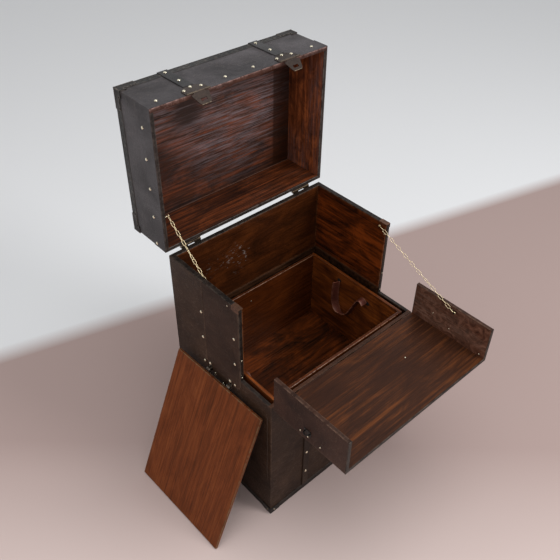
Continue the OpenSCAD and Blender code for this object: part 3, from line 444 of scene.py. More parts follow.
def wood(name, grain, dark, mid, hot, shift, rough=0.34, spec=0.2, coat=0.0, coat_rough=0.12, streak=1.0,
         blotch=1.0, sheen_haze="#77707a", sheen_haze_amount=0.0, worn="#6e452c", spots=(), stains=(), line=0.0, lumps=None,
         relief=1.0, fine=0.34, painted_highlight_lines=(), tints_and_painted_light=(), painted_sheen_spots=()):
    """Stained boards: streaks, blotches and fibres, pale patches along the grain that are partly a real matt bloom
    on the varnish and partly painted sheen (a painted reflection), scuffs, stains, and rubbed edges, which on the
    tray's cross boards also stand for a painted highlight along the rim.

    spots are (centre, radius, colour), stains (centre, radius, depth), painted_sheen_spots (centre, radius),
    painted_highlight_lines (y, z, radius, colour), and tints_and_painted_light (axis, start, full, depth, colour).
    """
    net = Net(name, rough, coat=coat, coat_rough=coat_rough, spec=spec)
    fibres = net.noise(stretch(grain, 12, 520), 4, 0.65, 0.0, shift)
    streaks = net.noise(stretch(grain, 2.8, 120), 5, 0.66, 0.5, shift + 1)
    blots = net.noise(lumps or stretch(grain, 6.0, 15), 6, 0.7, 1.2, shift + 3)
    tone = net.math("MULTIPLY_ADD", net.math("SUBTRACT", streaks, 0.5), 1.5 * streak, 0.5)
    tone = net.math("MULTIPLY_ADD", net.math("SUBTRACT", blots, 0.5), 1.6 * blotch, tone)
    colour = net.ramp(tone, [(0.22, dark), (0.5, mid), (0.8, hot)])
    if line:
        thin = net.band(net.noise(stretch(grain, 1.1, 46), 3, 0.5, 0.5, shift + 17), 0.68, 0.75)
        colour = net.mix(net.by(thin, line), colour, hot)
    colour = net.shaded(colour, net.band(fibres, 0.3, 0.7, 1 - fine, 1 + fine))
    matt_and_sheen_streaks = net.noise(stretch(grain, 9, 230), 5, 0.75, 0.6, shift + 7)
    where = net.noise(stretch(grain, 3.0, 9), 4, 0.62, 0.8, shift + 11)
    dull = net.by_clamped(net.band(matt_and_sheen_streaks, 0.42, 0.7), net.band(where, 0.4, 0.64))
    for centre, radius in painted_sheen_spots:
        here = net.by(net.band(net.near(centre, radius), 0.0, 0.5), net.band(matt_and_sheen_streaks, 0.45, 0.62))
        here = net.by(here, net.band(where, 0.3, 0.5, 0.45, 1.0))
        dull = net.math("MAXIMUM", dull, here, clamp=True)
    # Painted sheen: the pale colour mixed in here is partly a real matt bloom and partly a painted reflection of
    # bright light on the varnish.
    if sheen_haze_amount:
        colour = net.mix(net.by(dull, sheen_haze_amount), colour, sheen_haze)
    for centre, radius, depth in stains:
        soft = net.by(net.near(centre, radius), net.band(streaks, 0.38, 0.6, 0.5, 1.5))
        colour = net.mix(net.by(net.band(soft, 0.1, 0.7), depth), colour, dark)
    for centre, radius, pale in spots:
        bits = net.band(net.noise((70, 30, 110), 4, 0.62, 0.4, shift + 13), 0.6, 0.68)
        bits = net.by(net.near(centre, radius), bits)
        colour = net.mix(net.by_clamped(bits, 1.3), colour, pale)
    patchy = net.band(net.noise((60, 60, 60), 4, 0.65, 0.0, shift), 0.36, 0.56)
    colour = net.mix(net.by_clamped(net.wear(), patchy), colour, worn)
    # Colour bands by position: on the lid panel a painted shade and a darkening towards the bottom, on the recess
    # boards a painted highlight.
    for axis, start, full, depth, tint in tints_and_painted_light:
        along = net.node("SeparateXYZ", {0: net.place}).outputs["XYZ".index(axis)]
        colour = net.mix(net.band(along, start * MM, full * MM, 0.0, depth), colour, tint)
    # Painted highlight: a pale line along a joint, where light catches its edge.
    for y, z, radius, pale in painted_highlight_lines:
        colour = net.mix(net.beside(y, z, radius), colour, pale)
    gloss = net.band(streaks, 0.3, 0.7, rough - 0.05, rough + 0.08)
    gloss = net.math("ADD", gloss, net.by(dull, 0.1))
    net.done(colour, gloss, [(blots, 0.8 * relief), (streaks, 0.35 * relief), (fibres, 0.08)])


def leather(name, dark, light, worn, shift, rough=0.46, spec=0.25, grain=620, pores=0.2, fleck=0.5):
    """Old leather: pores, creases, patches, scratches, and rubbed edges, which on leather_binding, lid_rim and
    lid_rim_dark are partly a painted highlight.
    """
    net = Net(name, rough, spec=spec)
    patches = net.noise((7, 7, 7), 5, 0.62, 0.4, shift)
    colour = net.mix(net.band(patches, 0.34, 0.66), dark, light)
    speck = net.noise((210, 210, 210), 3, 0.6, 0.0, shift)
    colour = net.shaded(colour, net.band(speck, 0.3, 0.7, 0.74, 1.24))
    folds = net.noise((16, 16, 34), 5, 0.6, 1.2, shift + 2)
    crease = net.band(net.math("ABSOLUTE", net.math("SUBTRACT", folds, 0.5)), 0.0, 0.015, 1.0, 0.0)
    colour = net.mix(net.by(crease, 0.3 * fleck), colour, worn)
    scratch = net.band(net.noise((12, 150, 40), 4, 0.72, 0.8, shift + 5), 0.66, 0.74)
    colour = net.mix(net.by(scratch, 0.6 * fleck), colour, worn)
    patchy = net.band(net.noise((48, 48, 48), 4, 0.7, 0.0, shift), 0.4, 0.6)
    colour = net.mix(net.by_clamped(net.wear(), patchy), colour, worn)
    gloss = net.band(patches, 0.3, 0.7, rough + 0.06, rough - 0.08)
    net.done(colour, gloss, [(patches, 1.6), (crease, -0.3), (net.cells(grain), pores)])


def metal(name, base, dull, rough=0.3, shift=0.0, amount=0.5, wave=0.15, shine=1.0, worn=None, lines=(), ring=None):
    """Cast or drawn metal: tarnish, bright where rubbed and along given lines (partly wear and partly a painted
    highlight), and a painted shade round the rim of domed heads.
    """
    net = Net(name, rough, shine)
    tarnish = net.noise((160, 160, 160), 4, 0.65, 0.0, shift)
    broad = net.noise((14, 14, 14), 2, 0.5, 0.0, shift)
    mask = net.by_clamped(net.band(net.math("ADD", tarnish, broad), 0.85, 1.2), amount)
    colour = net.mix(mask, base, dull)
    if worn:
        grit = net.band(tarnish, 0.4, 0.56)
        colour = net.mix(net.by_clamped(net.wear(), grit), colour, worn)
        # Lines painted bright: partly rubbed metal and partly a painted highlight.
        for y, z, radius in lines:
            colour = net.mix(net.by(net.beside(y, z, radius), grit), colour, worn)
    # Painted shade: the tilted rim of a domed head is painted dark, as if turned away from the light, leaving a
    # bright centre.
    if ring:
        parts = net.node("SeparateXYZ", {0: net.node("TexCoord", {}).outputs["Normal"]}).outputs
        parts = [net.math("ABSOLUTE", part) for part in parts]
        straight = net.math("MAXIMUM", net.math("MAXIMUM", parts[0], parts[1]), parts[2])
        colour = net.mix(net.band(straight, 0.78, 0.9), ring, colour)
    net.done(colour, net.band(mask, 0.0, 1.0, rough, rough + 0.3), [(tarnish, wave)])


# The hasps' pin, and the end of a tongue, as they stand while the lid is open
HASP_PIN, TONGUE_L, TONGUE_REST = (229.4, 1309), 42, radians(57)
TONGUE_END = (HASP_PIN[0] - TONGUE_L * sin(TONGUE_REST), HASP_PIN[1] - TONGUE_L * cos(TONGUE_REST))

leather("leather_case", "#1f120b", "#392619", "#7a6253", 1.0, spec=0.13, fleck=0.75)
leather("leather_upper", "#261811", "#3b281e", "#77604f", 2.0, spec=0.12)
leather("leather_lid", "#292425", "#484244", "#736862", 3.0, 0.48, 0.3, fleck=0.8)
leather("lid_band", "#292425", "#484244", "#141212", 3.0, 0.48, 0.3)
leather("leather_flap", "#241510", "#3f271d", "#7d6453", 4.0, spec=0.12, fleck=0.7)
# leather_binding's pale rubbed colour is partly wear and partly painted glints along the rims' edges.
leather("leather_binding", "#110d0b", "#1d1613", "#54483f", 5.0, 0.4, 0.15)
leather("edge_brown", "#25150f", "#3f261b", "#6e5446", 5.5, 0.4, 0.15)
leather("rim_brown", "#36231a", "#4a2e20", "#6e503e", 5.2, 0.36, 0.15, pores=0.1)
leather("rim_grey", "#1c1613", "#2e2622", "#4e433b", 5.8, 0.36, 0.15, pores=0.1)
leather("leather_strap", "#261b16", "#38291f", "#221813", 6.0, spec=0.12)
leather("thread", "#3e342e", "#5a4e46", "#5a4e46", 6.5)
leather("lid_strap", "#272525", "#393636", "#151312", 7.5)
leather("leather_pull", "#4c241b", "#6b3a2d", "#96654f", 7.0, 0.42, 0.3, 500)
leather("leather_grip", "#221914", "#3a2a21", "#a08a74", 8.0, 0.38, 0.4)
leather("embossed_edging", "#151312", "#242120", "#625850", 9.0, 0.42, 0.3)
# On lid_rim and lid_rim_dark the pale rubbed line along the edge is partly wear and partly a painted highlight.
leather("lid_rim", "#2e1a14", "#4a2a1e", "#b8948c", 10.0, 0.42, pores=0.1)
leather("lid_rim_dark", "#191412", "#2c2421", "#756a62", 10.5, 0.42, pores=0.1)
metal("corner_metal", "#2d2826", "#151211", 0.4, 1.0, 0.8, 0.4, 0.5, "#7c726a")
wood("board_wood", "z", "#20110b", "#3a2015", "#4f2c1c", 1.0)
wood("recess_wood", "x", "#150b06", "#2c1a10", "#402818", 1.5, spec=0.05,
     # The lighter band just under the liner's lower end is a painted highlight, standing for the lit ledge beneath
     # the liner.
     tints_and_painted_light=[("Z", 562, 570, 0.6, "#6a4c3a")])
wood("liner_wood", "x", "#221006", "#381a09", "#542a10", 2.0, 0.3, 0.15, streak=0.3, blotch=0.8,
     spots=[((-68, 214, 706), 70, "#857b76"), ((-160, 214, 720), 50, "#665c56")])
wood("liner_side_wood", "y", "#251007", "#51230b", "#7e3913", 3.0, 0.3, 0.15, streak=0.9, blotch=1.1)
wood("tray_wood", "x", "#1c0d05", "#401c08", "#6a3110", 4.0, 0.28, streak=0.6, worn="#8a5a38",
     stains=[((80, -60, 272), 75, 1.0), ((-40, -150, 272), 100, 0.6)])
wood("tray_end_wood", "x", "#281205", "#461f09", "#64300f", 4.5, 0.26, streak=0.35, blotch=0.5,
     # Besides wear, the pale rubbed colour on these eased edges stands for a painted highlight along the tray's rim.
     worn="#b08a70", relief=0.5, fine=0.2)
wood("tray_side_wood", "y", "#371a0c", "#663212", "#95501f", 5.0, 0.32, streak=0.8, blotch=0.8, worn="#5c3c28")
wood("lid_wood", "x", "#20100a", "#452413", "#733a21", 6.0, 0.36, 0.25, 0.15, 0.25, 1.05, 1.0, "#84767a", 0.75,
     stains=[((-100, 384, 1165), 75, 0.9), ((-240, 384, 1020), 110, 0.6)], relief=0.5, fine=0.5,
     # Past X 233 mm the panel is painted darker, a painted shade for the dark reflection of the lid's right board; it
     # also grows darker towards the bottom below Z 1060 mm.
     tints_and_painted_light=[("Z", 1060, 960, 0.25, "#1e0c05"), ("X", 233, 240, 0.66, "#221006")],
     # These spots on the lid panel are painted sheen: painted reflections of bright light on its varnish.
     painted_sheen_spots=[((70, 384, 1150), 330), ((-41, 384, 1032), 60), ((-230, 384, 1190), 90)])
wood("lid_low_wood", "x", "#260f07", "#42200f", "#6e361a", 6.5, 0.36, 0.15, streak=1.2, blotch=0.8,
     # The pale line along the joint with the panel is a painted highlight.
     sheen_haze="#6b5750", sheen_haze_amount=0.2, relief=0.4, fine=0.5, painted_highlight_lines=[(383.6, 856, 1.1, "#6e5246")])
wood("lid_side_wood", "z", "#42200f", "#733b20", "#a4592f", 7.0, 0.34, 0.25, streak=0.9, blotch=0.9,
     sheen_haze="#6c6468", sheen_haze_amount=0.6, fine=0.5, lumps=(26, 26, 16))
wood("flap_wood", "x", "#2b170f", "#3a2013", "#6f3d1c", 8.0, 0.4, 0.14, streak=0.5, blotch=0.3, line=0.6,
     fine=0.42, stains=[((70, -370, 548), 120, 0.5), ((-160, -300, 548), 90, 0.4)])
wood("wing_wood", "y", "#3a2118", "#5a382a", "#7b5443", 9.0, 0.42, 0.14, streak=0.1, blotch=1.1,
     sheen_haze="#a08a7c", sheen_haze_amount=0.35, lumps=(30, 30, 30), fine=0.2)
wood("loose_wood", "x", "#4e2712", "#693419", "#7e4423", 10.0, 0.42, 0.08, streak=0.7, blotch=0.5,
     worn="#857a5c", fine=0.3)
# The nails' dark rim colour is a painted shade round each domed head.
metal("nail_brass", "#fff4da", "#c8b080", 0.2, 2.0, 0.2, ring="#4a381f")
metal("chain_brass", "#f0dcb4", "#b09a6c", 0.25, 3.0, 0.3)
metal("hasp_bronze", "#40332c", "#261e1a", 0.38, 4.0, 0.8, 0.3, 0.6, "#9c8c74",
      # The bright lines along the hasps' pin and the tongue's end are partly rubbed bronze and partly a painted
      # highlight.
      [HASP_PIN + (2.0,), TONGUE_END + (1.2,)])
metal("hardware_bronze", "#5f5040", "#2b2420", 0.4, 4.0, 0.8, 0.3)
metal("cap_copper", "#7e5c49", "#33241d", 0.34, 5.0, 0.7, 0.4, 0.8, "#d8c8b8")
metal("mount_steel", "#a0968c", "#2c2825", 0.22, 5.5, 0.8, 0.3)
metal("pin_steel", "#9a948c", "#4a443f", 0.35, 6.0)
metal("black_iron", "#1f1c1b", "#0f0d0c", 0.3, 7.0, 0.5, 0.2, 0.7)
# Nearly black: the painted shade in the openings where the tray's pull straps enter the end boards.
metal("slot_painted_shade", "#0a0605", "#050302", 0.8, 8.0, 0.5, 0.2, 0.0)


# The CAD nodes that show as they are. The studs keep their flat shading
STUDS = ("case_chain_studs", "lid_chain_stud")
for material, names in {
    "tray_wood": ("floor_board", "tray_bottom"), "board_wood": ("front_board", "tray_ledges"),
    "recess_wood": ("back_board", "left_board", "right_board"), "corner_metal": ("foot_corners",),
    "cap_copper": ("rim_corners",), "nail_brass": ("case_nails", "lid_nails", "flap_nails", "tray_nails") + STUDS,
    "hardware_bronze": ("lid_hinge_leaves", "flap_hinge_leaves", "lid_leaves", "flap_leaves"),
    "pin_steel": ("hinge_pins", "hasp_pins"), "mount_steel": ("handle_mounts",), "lid_wood": ("lid_top_board",),
    "lid_low_wood": ("lid_front_board", "lid_back_board"), "lid_side_wood": ("lid_left_board", "lid_right_board"),
    "hasp_bronze": ("hasp_plates", "hasp_tongue_left", "hasp_tongue_right"), "flap_wood": ("flap_panel",),
    "wing_wood": ("flap_wings",), "black_iron": ("flap_fittings",),
}.items():
    for name in names:
        data = nodes[name].data
        data.materials.clear()
        data.materials.append(M[material])
        if name not in STUDS:
            data.polygons.foreach_set("use_smooth", np.ones(len(data.polygons), bool))
            data.set_sharp_from_angle(angle=radians(35))
for name in ("foot_corners", "rim_corners", "handle_mounts", "hasp_plates", "hasp_tongue_left", "hasp_tongue_right",
             "lid_hinge_leaves", "lid_leaves"):
    bevel = nodes[name].modifiers.new("eased", "BEVEL")
    bevel.width, bevel.segments, bevel.limit_method, bevel.angle_limit = 0.3 * MM, 2, "ANGLE", radians(50)

# The case's leather


def side_shape(u, v):
    low = rect(u, v, -HALF_D, HALF_D, v1=FRONT_H - SKIN)
    return np.maximum(low, rect(u, v, UPPER_Y, HALF_D, v1=SKIN_TOP))


parts = lay("x", SKIN_X, (9, -HALF_D, UPPER_Y, HALF_D), (9, 1, FRONT_H - SKIN, SKIN_TOP),
            (2, 2, 0.45, 120, 11), side_shape, 0.35, 1)
parts += lay("-y", SKIN_Y, (9, -SKIN_X, SKIN_X), (9, 1, FRONT_H - SKIN), (2, 2, 0.45, 110, 13), everywhere)
parts += lay("y", SKIN_Y, (10, -SKIN_X, SKIN_X), (10, 1, SKIN_TOP), (2, 2, 0.45, 130, 14), everywhere)
make("case_leather", "case", "leather_case", parts, ["case_skin"])


def seam_shape(u, v):
    return rect(u, v, SEAM_Y + 1.4 * waves(v, v * 0, 260, 21))


us, vs = ticks([SEAM_Y, SEAM_Y + 3, HALF_D], 9, (0.5, 1.0, 1.6)), ticks([FOOT_H, SKIN_TOP], 9)
parts = [sheet("x", HALF_W, us, vs, hide(1, 1, 0.15, 80, 15 + mirror), seam_shape, mirror, 0.5)
         for mirror in (False, True)]
make("rear_leather", "case", "leather_case", parts, ["side_overlaps"])

# The front upper piece of leather, which ends in a rounded corner above the handle's ends
UPPER_Z, UPPER_R = 498, 26


def upper_shape(u, v):
    flat = rect(u, v, UPPER_Y, v0=UPPER_Z)
    corner = UPPER_R - np.hypot(np.minimum(u - UPPER_Y - UPPER_R, 0), np.minimum(v - UPPER_Z - UPPER_R, 0))
    return np.minimum(flat, corner + np.where((u < UPPER_Y + UPPER_R) & (v < UPPER_Z + UPPER_R), 0, OPEN))


make("upper_leather", "case", "leather_upper",
     lay("x", HALF_W, (5, UPPER_Y, STEP_Y + 30, SEAM_Y), (5, UPPER_Z, UPPER_Z + 30, SKIN_TOP),
         (0.7, 0.7, 0.1, 70, 17), upper_shape, 0.5, 1))

foot, below = (1, 1, 0.1, 40, 19), within(v1=FOOT_H)
parts = lay("x", HALF_W, (12, -HALF_D - 1, HALF_D + 1), (5, 0.5, FOOT_H), foot, below, 0.6, 0)
for axis in ("-y", "y"):
    parts += lay(axis, HALF_D, (12, -HALF_W, HALF_W), (5, 0.5, FOOT_H), foot, below, 0.6)
make("foot_leather", "case", "leather_binding", parts, ["foot_binding"])


def rim_shape(u, v):
    hole = -rect(u, v, -LINER_X, LINER_X, v1=LINER_Y)
    metal_caps = -rect(np.abs(u), v, LINER_X - 1, v1=STEP_Y + CAP_L)
    return np.minimum(np.minimum(rect(u, v, -HALF_W, HALF_W, STEP_Y, HALF_D), hole), metal_caps)


parts = lay("z", SKIN_TOP, (12, -HALF_W, -LINER_X, LINER_X, HALF_W), (12, STEP_Y, STEP_Y + CAP_L, LINER_Y, HALF_D),
            (2, 2, 0.3, 40, 22), rim_shape, 0.8)
parts += lay("-y", -UPPER_Y, (3, IN_X, HALF_W), (10, FRONT_H, SKIN_TOP), (2, 2, 0.3, 50, 24),
             within(IN_X, HALF_W), 0.7, 0)
make("case_edges", "case", "leather_binding", parts, ["case_binding"])
make("low_front_rim", "case", "rim_brown",
     lay("z", FRONT_H - SKIN, (12, -HALF_W, HALF_W), (3, -HALF_D, -IN_Y), (2, 2, 0.3, 40, 23),
         within(-HALF_W, HALF_W, -HALF_D), 0.5))
make("low_side_rims", "case", "rim_grey",
     lay("z", FRONT_H - SKIN, (3, IN_X, HALF_W), (10, -IN_Y, UPPER_Y), (2, 2, 0.3, 40, 25),
         within(IN_X, HALF_W), 0.6, 1))


def strap(axis, at, centre, width, low, high, seed, t=STRAP_T):
    """A sewn strap with a crowned face and a groove of stitches along each edge."""
    fine = (0.4, 1.0, 1.8)
    us, vs = ticks([centre - width / 2, centre + width / 2], 2.0, fine), ticks([low, high], 2.0, fine)

    def top(u, v, d):
        side = width / 2 - np.abs(u - centre)
        groove = 0.5 * np.exp(-((side - 3.2) / 0.7) ** 2)
        stitch = 0.45 * np.exp(-((side - 3.2) / 0.8) ** 2) * (np.sin(v * tau / 7) > -0.3)
        return hide(t, min(1.6, t), 0.15, 60, seed)(u, v, d) - groove + stitch

    return sheet(axis, at, us, vs, top, wear=0.6)


parts = [strap(axis, HALF_D, side * CASE_STRAP_X, CASE_STRAP_W, FOOT_H + 0.5, high, seed + side)
         for axis, high, seed in (("-y", FRONT_STRAP_TOP, 31), ("y", BACK_STRAP_TOP, 35)) for side in (-1, 1)]
make("case_straps_sewn", "case", "leather_strap", parts, ["case_straps"])

# The stitched seam on the sides, near the front corner
STITCH_Y, STITCH_TOP, STITCH_STEP, STITCH_L = -213, 494, 8, 5
parts = []
for side in (-1, 1):
    x = side * (HALF_W + 0.1)
    for k in range(40):
        z = STITCH_TOP - STITCH_STEP * k
        parts.append(tube([(x, STITCH_Y, z), (x, STITCH_Y - 0.4, z - STITCH_L)], 0.6, 5))
make("side_stitches", "case", "thread", parts)

# Liner boards
parts = [slab((-LINER_X, LINER_Y, LINER_Z), (LINER_X, IN_Y, SKIN_TOP), 1, 30, 0.15, 41)]
make("liner_back_board", "case", "liner_wood", parts, ["liner_back"])
for side, name in ((1, "liner_right"), (-1, "liner_left")):
    low, high = sorted((side * LINER_X, side * IN_X))
    parts = [slab((low, UPPER_Y, LINER_Z), (high, IN_Y, SKIN_TOP), 1, 30, 0.15, 42)]
    make(name + "_board", "case", "liner_side_wood", parts, [name])

# The lid's leather, drawn closed
parts = lay("z", LID_SKIN_TOP, (9, -LID_W, LID_W), (9, -HALF_D, HALF_D), (2, 2, 0.45, 120, 51), wear=0.3)
parts += lay("x", LID_W - SKIN, (9, -HALF_D, HALF_D), (9, LID_LOW, LID_SKIN_TOP), (2, 2, 0.4, 90, 52),
             within(-HALF_D, HALF_D), 0.2, 1)
for axis in ("-y", "y"):
    parts += lay(axis, SKIN_Y, (9, SKIN - LID_W, LID_W - SKIN), (9, LID_LOW, LID_SKIN_TOP), (2, 2, 0.4, 90, 54),
                 everywhere)
make("lid_leather", "lid", "leather_lid", parts, ["lid_skin"])


def lid_rim_shape(u, v):
    return np.minimum(rect(u, v, -LID_W, LID_W, v1=HALF_D), -rect(u, v, -LID_IN_X, LID_IN_X, v1=IN_Y))


parts = lay("-z", -LID_LOW, (12, -LID_W, -LID_IN_X, LID_IN_X, LID_W), (12, -IN_Y, IN_Y, HALF_D),
            (2, 1.6, 0.3, 40, 56), lid_rim_shape, 0.6)
make("lid_edges", "lid", "lid_rim_dark", parts, ["lid_binding"])
parts = lay("-z", -LID_LOW, (12, -LID_W, LID_W), (3, -HALF_D, -IN_Y), (2, 1.6, 0.3, 40, 55),
            within(-LID_W, LID_W, -HALF_D), 0.9)
make("lid_front_edge", "lid", "lid_rim", parts)

parts = lay("x", LID_W, (10, -HALF_D - 1, HALF_D), (8, LID_Z + 0.5, BAND_TOP), (1, 1, 0.2, 60, 57),
            within(u1=HALF_D, v1=BAND_TOP), 0.5, 1)
parts += lay("-y", HALF_D, (10, -LID_W, LID_W), (8, LID_Z + 0.5, BAND_TOP), (1, 1, 0.2, 60, 59),
             within(v1=BAND_TOP), 0.5)
make("lid_rim_band", "lid", "lid_band", parts, ["lid_band"])

# Embossed edging: a running leaf between two cords, a common pattern
LEAF, CORD_TURN = 19, 5


def pattern(low, high, along_u):
    """Relief of the edging between low and high across it, from 0 to 1."""
    def relief(u, v):
        run, cross = (u, v) if along_u else (v, u)
        c = (cross - low) / (high - low) * 2 - 1
        cord = np.exp(-((np.abs(c) - 0.78) / 0.12) ** 2) * (0.7 + 0.3 * np.sin(run * tau / CORD_TURN))
        bend = 0.42 * np.sin(run * tau / (2 * LEAF))
        stem = np.exp(-((c - bend) / 0.16) ** 2)
        leaf = 1 - ((run % LEAF - LEAF / 2) / (LEAF * 0.4)) ** 2 - ((c + bend * 0.8) / 0.4) ** 2
        return np.clip(np.maximum(np.maximum(cord, stem * 0.8), np.clip(leaf, 0, 1) ** 0.5), 0, 1)
    return relief


def embossed(axis, at, us, vs, low, high, along_u, mirror=False):
    """A strip of the edging, rubbed on its high places."""
    relief = pattern(low, high, along_u)

    def top(u, v, d):
        return EDGE_T * (0.25 + 0.75 * relief(u, v)) * np.clip(d / 0.8 + 0.2, 0, 1)

    def rubbed(u, v, d):
        return 0.62 * relief(u, v) ** 2 + 0.3 * np.exp(-d / RUB)

    return sheet(axis, at, us, vs, top, None, mirror, rubbed)


OUTER_X, OUTER_Y, OUTER_Z = LID_W + EDGE_T, HALF_D + EDGE_T, LID_TOP + EDGE_T
LOW_X, LOW_Y, LOW_Z = LID_W - EDGE_W, HALF_D - EDGE_W, LID_TOP - EDGE_W
across, along, down = ticks([LOW_X, OUTER_X], 2), ticks([-OUTER_Y, OUTER_Y], 2.2), ticks([LOW_Z, OUTER_Z], 2)
parts = []
for mirror in (False, True):
    parts.append(embossed("z", LID_TOP, across, along, LOW_X, OUTER_X, False, mirror))
    parts.append(embossed("x", LID_W, along, down, LOW_Z, OUTER_Z, True, mirror))
for side, axis in ((-1, "-y"), (1, "y")):
    low, high = sorted((side * LOW_Y, side * OUTER_Y))
    parts.append(embossed("z", LID_TOP, ticks([-LOW_X, LOW_X], 2.2), ticks([low, high], 2), low, high, True))
    parts.append(embossed(axis, HALF_D, ticks([-LID_W, LID_W], 2.2), down, LOW_Z, OUTER_Z, True))
make("lid_edging_embossed", "lid", "embossed_edging", parts, ["lid_edging"])

CORNER_REACH, SCALLOP, VEIN = EDGE_T + CORNER_T, 17, 9


def corner_sheet(axis, at, cu, cv, du, dv):
    """One face of a corner protector: two scalloped arms, from the corner at (cu, cv) inwards along du and dv."""
    us = np.sort(cu + du * ticks([0, EDGE_W, CORNER_L + 2], 1.8))
    vs = np.sort(cv + dv * ticks([0, EDGE_W, CORNER_L + 2], 1.8))

    def arms(u, v):
        a, b = (u - cu) * du, (v - cv) * dv
        wide = EDGE_W + 2.2 * np.cos((a + b) * tau / SCALLOP) - 2.4
        arm = np.maximum(np.minimum(wide - b, CORNER_L - a), np.minimum(wide - a, CORNER_L - b))
        return np.minimum(arm, np.minimum(a, b) + 0.6), a, b

    def top(u, v, d):
        way, a, b = arms(u, v)
        vein = 0.35 * np.cos((a - b) * tau / VEIN) * np.cos((a + b) * tau / SCALLOP)
        rim = np.exp(-((way - 1.6) / 1.1) ** 2)
        return CORNER_REACH * 0.62 + CORNER_T * (0.35 * np.clip(rim, 0, 1) + 0.3 + vein)

    def rubbed(u, v, d):
        return 0.7 * np.exp(-d / 2) + 0.6 * np.clip((top(u, v, d) - CORNER_REACH * 0.8) / 0.5, 0, 1)

    return sheet(axis, at, us, vs, top, lambda u, v: arms(u, v)[0], wear=rubbed)


parts = []
for sx in (-1, 1):
    for sy in (-1, 1):
        x, y, z = sx * (LID_W + CORNER_REACH), sy * (HALF_D + CORNER_REACH), LID_TOP + CORNER_REACH
        parts.append(corner_sheet("z", LID_TOP, x, y, -sx, -sy))
        parts.append(corner_sheet("x" if sx > 0 else "-x", LID_W, y, z, -sy, -1))
        parts.append(corner_sheet("y" if sy > 0 else "-y", HALF_D, x, z, -sx, -1))
for points, _, _ in parts:
    points[:, 2] = np.maximum(points[:, 2], LOW_Z - 4)
make("lid_corners_chased", "lid", "corner_metal", parts, ["lid_corners"])

parts = []
strap_top, over = LID_TOP + STRAP_T - 0.5, HALF_D + STRAP_T - 0.5
for side in (-1, 1):
    x = side * STRAP_X
    parts.append(strap("-y", HALF_D, x, LID_STRAP_W, LID_Z + 44, strap_top, 61 + side))
    parts.append(strap("y", HALF_D, x, LID_STRAP_W, LID_Z + 52, strap_top, 65 + side))
    parts.append(strap("z", LID_TOP, x, LID_STRAP_W, -over, over, 69 + side))
make("lid_straps_sewn", "lid", "lid_strap", parts, ["lid_straps"])

# The flap's leather, drawn closed
parts = lay("-y", SKIN_Y, (9, -SKIN_X, SKIN_X), (9, FLAP_Z + SKIN, SKIN_TOP), (2, 2, 0.4, 110, 71), everywhere)
parts += lay("x", SKIN_X, (8, -HALF_D, WING_Y - SKIN), (8, FLAP_Z + SKIN, SKIN_TOP), (2, 2, 0.35, 80, 72),
             within(-HALF_D), 0.4, 1)
make("flap_leather", "flap", "leather_flap", parts, ["flap_skin"])


def flap_edge_shape(u, v):
    return np.minimum(rect(u, v, -HALF_W, HALF_W, -HALF_D, WING_Y), -rect(u, v, -IN_X, IN_X, -IN_Y))


us, vs = (9, -HALF_W, -IN_X, IN_X, HALF_W), (9, -HALF_D, -IN_Y, WING_Y)
parts = lay("z", SKIN_TOP, us, vs, (2, 2, 0.3, 35, 76), flap_edge_shape, 0.9)
make("flap_free_edge", "flap", "leather_binding", parts)
parts = lay("-z", -FLAP_Z - SKIN, us, vs, (2, 2, 0.3, 35, 75), flap_edge_shape, 0.3)
parts += lay("y", WING_Y - SKIN, (3, IN_X, HALF_W), (9, FLAP_Z + SKIN, SKIN_TOP), (2, 2, 0.3, 35, 77),
             within(IN_X, HALF_W), 1.0, 0)
make("flap_edges", "flap", "edge_brown", parts, ["flap_binding"])

parts = [strap("-y", HALF_D, side * STRAP_X, CASE_STRAP_W, FLAP_STRAP_LOW, FLAP_STRAP_TOP, 79 + side, FLAP_STRAP_T)
         for side in (-1, 1)]
make("flap_straps_sewn", "flap", "leather_strap", parts, ["flap_straps"])

# The tray: boards with eased rims, and the leather pulls, which hang twisted and pass through slots
long_walls, short_walls = [], []
for side in (-1, 1):
    low, high = sorted((side * TRAY_IN_X, side * TRAY_X))
    long_walls.append(slab((low, -TRAY_Y, TRAY_Z), (high, TRAY_Y, TRAY_TOP), 2.2, 30, 0.2, 81 + side, 0.9, 0.9))
    low, high = sorted((side * TRAY_IN_Y, side * TRAY_Y))
    short_walls.append(slab((-TRAY_IN_X, low, TRAY_Z), (TRAY_IN_X, high, TRAY_TOP), 3.0, 30, 0.2, 84 + side,
                            0.9, 0.9))
make("tray_side_boards", "tray", "tray_side_wood", long_walls, ["tray_walls_long"])
make("tray_cross_boards", "tray", "tray_end_wood", short_walls, ["tray_walls_short"])

# Which way the strap's width points beside each stop of its route
PULL_SIDES = [(0.9, -0.45, 0), (0.8, -0.6, 0), (0.8, -0.6, 0), (0.85, 0, -0.5), (0.85, 0, -0.5), (0.9, 0.1, -0.3),
              (0.95, 0.1, 0), (1, 0, 0), (1, 0, 0)]
# The slots' centres and half lengths along Y, and their half height
PULL_SLOTS, SLOT_H = ((PULL_SPAN / 2 - 1, PULL_TOP + 1, 9), (-PULL_SPAN / 2 - 2, PULL_TOP - 17, 10)), 8


def rounded(width, t):
    """Section of a strap: two crowned faces and round edges."""
    r = t / 2
    turn = np.linspace(-pi / 2, pi / 2, 6)
    right = np.stack([width / 2 - r + r * np.cos(turn), r * np.sin(turn)], 1)
    face = np.array([[width / 4, r], [0, r], [-width / 4, r]])
    return np.concatenate([right, face, -right, -face])


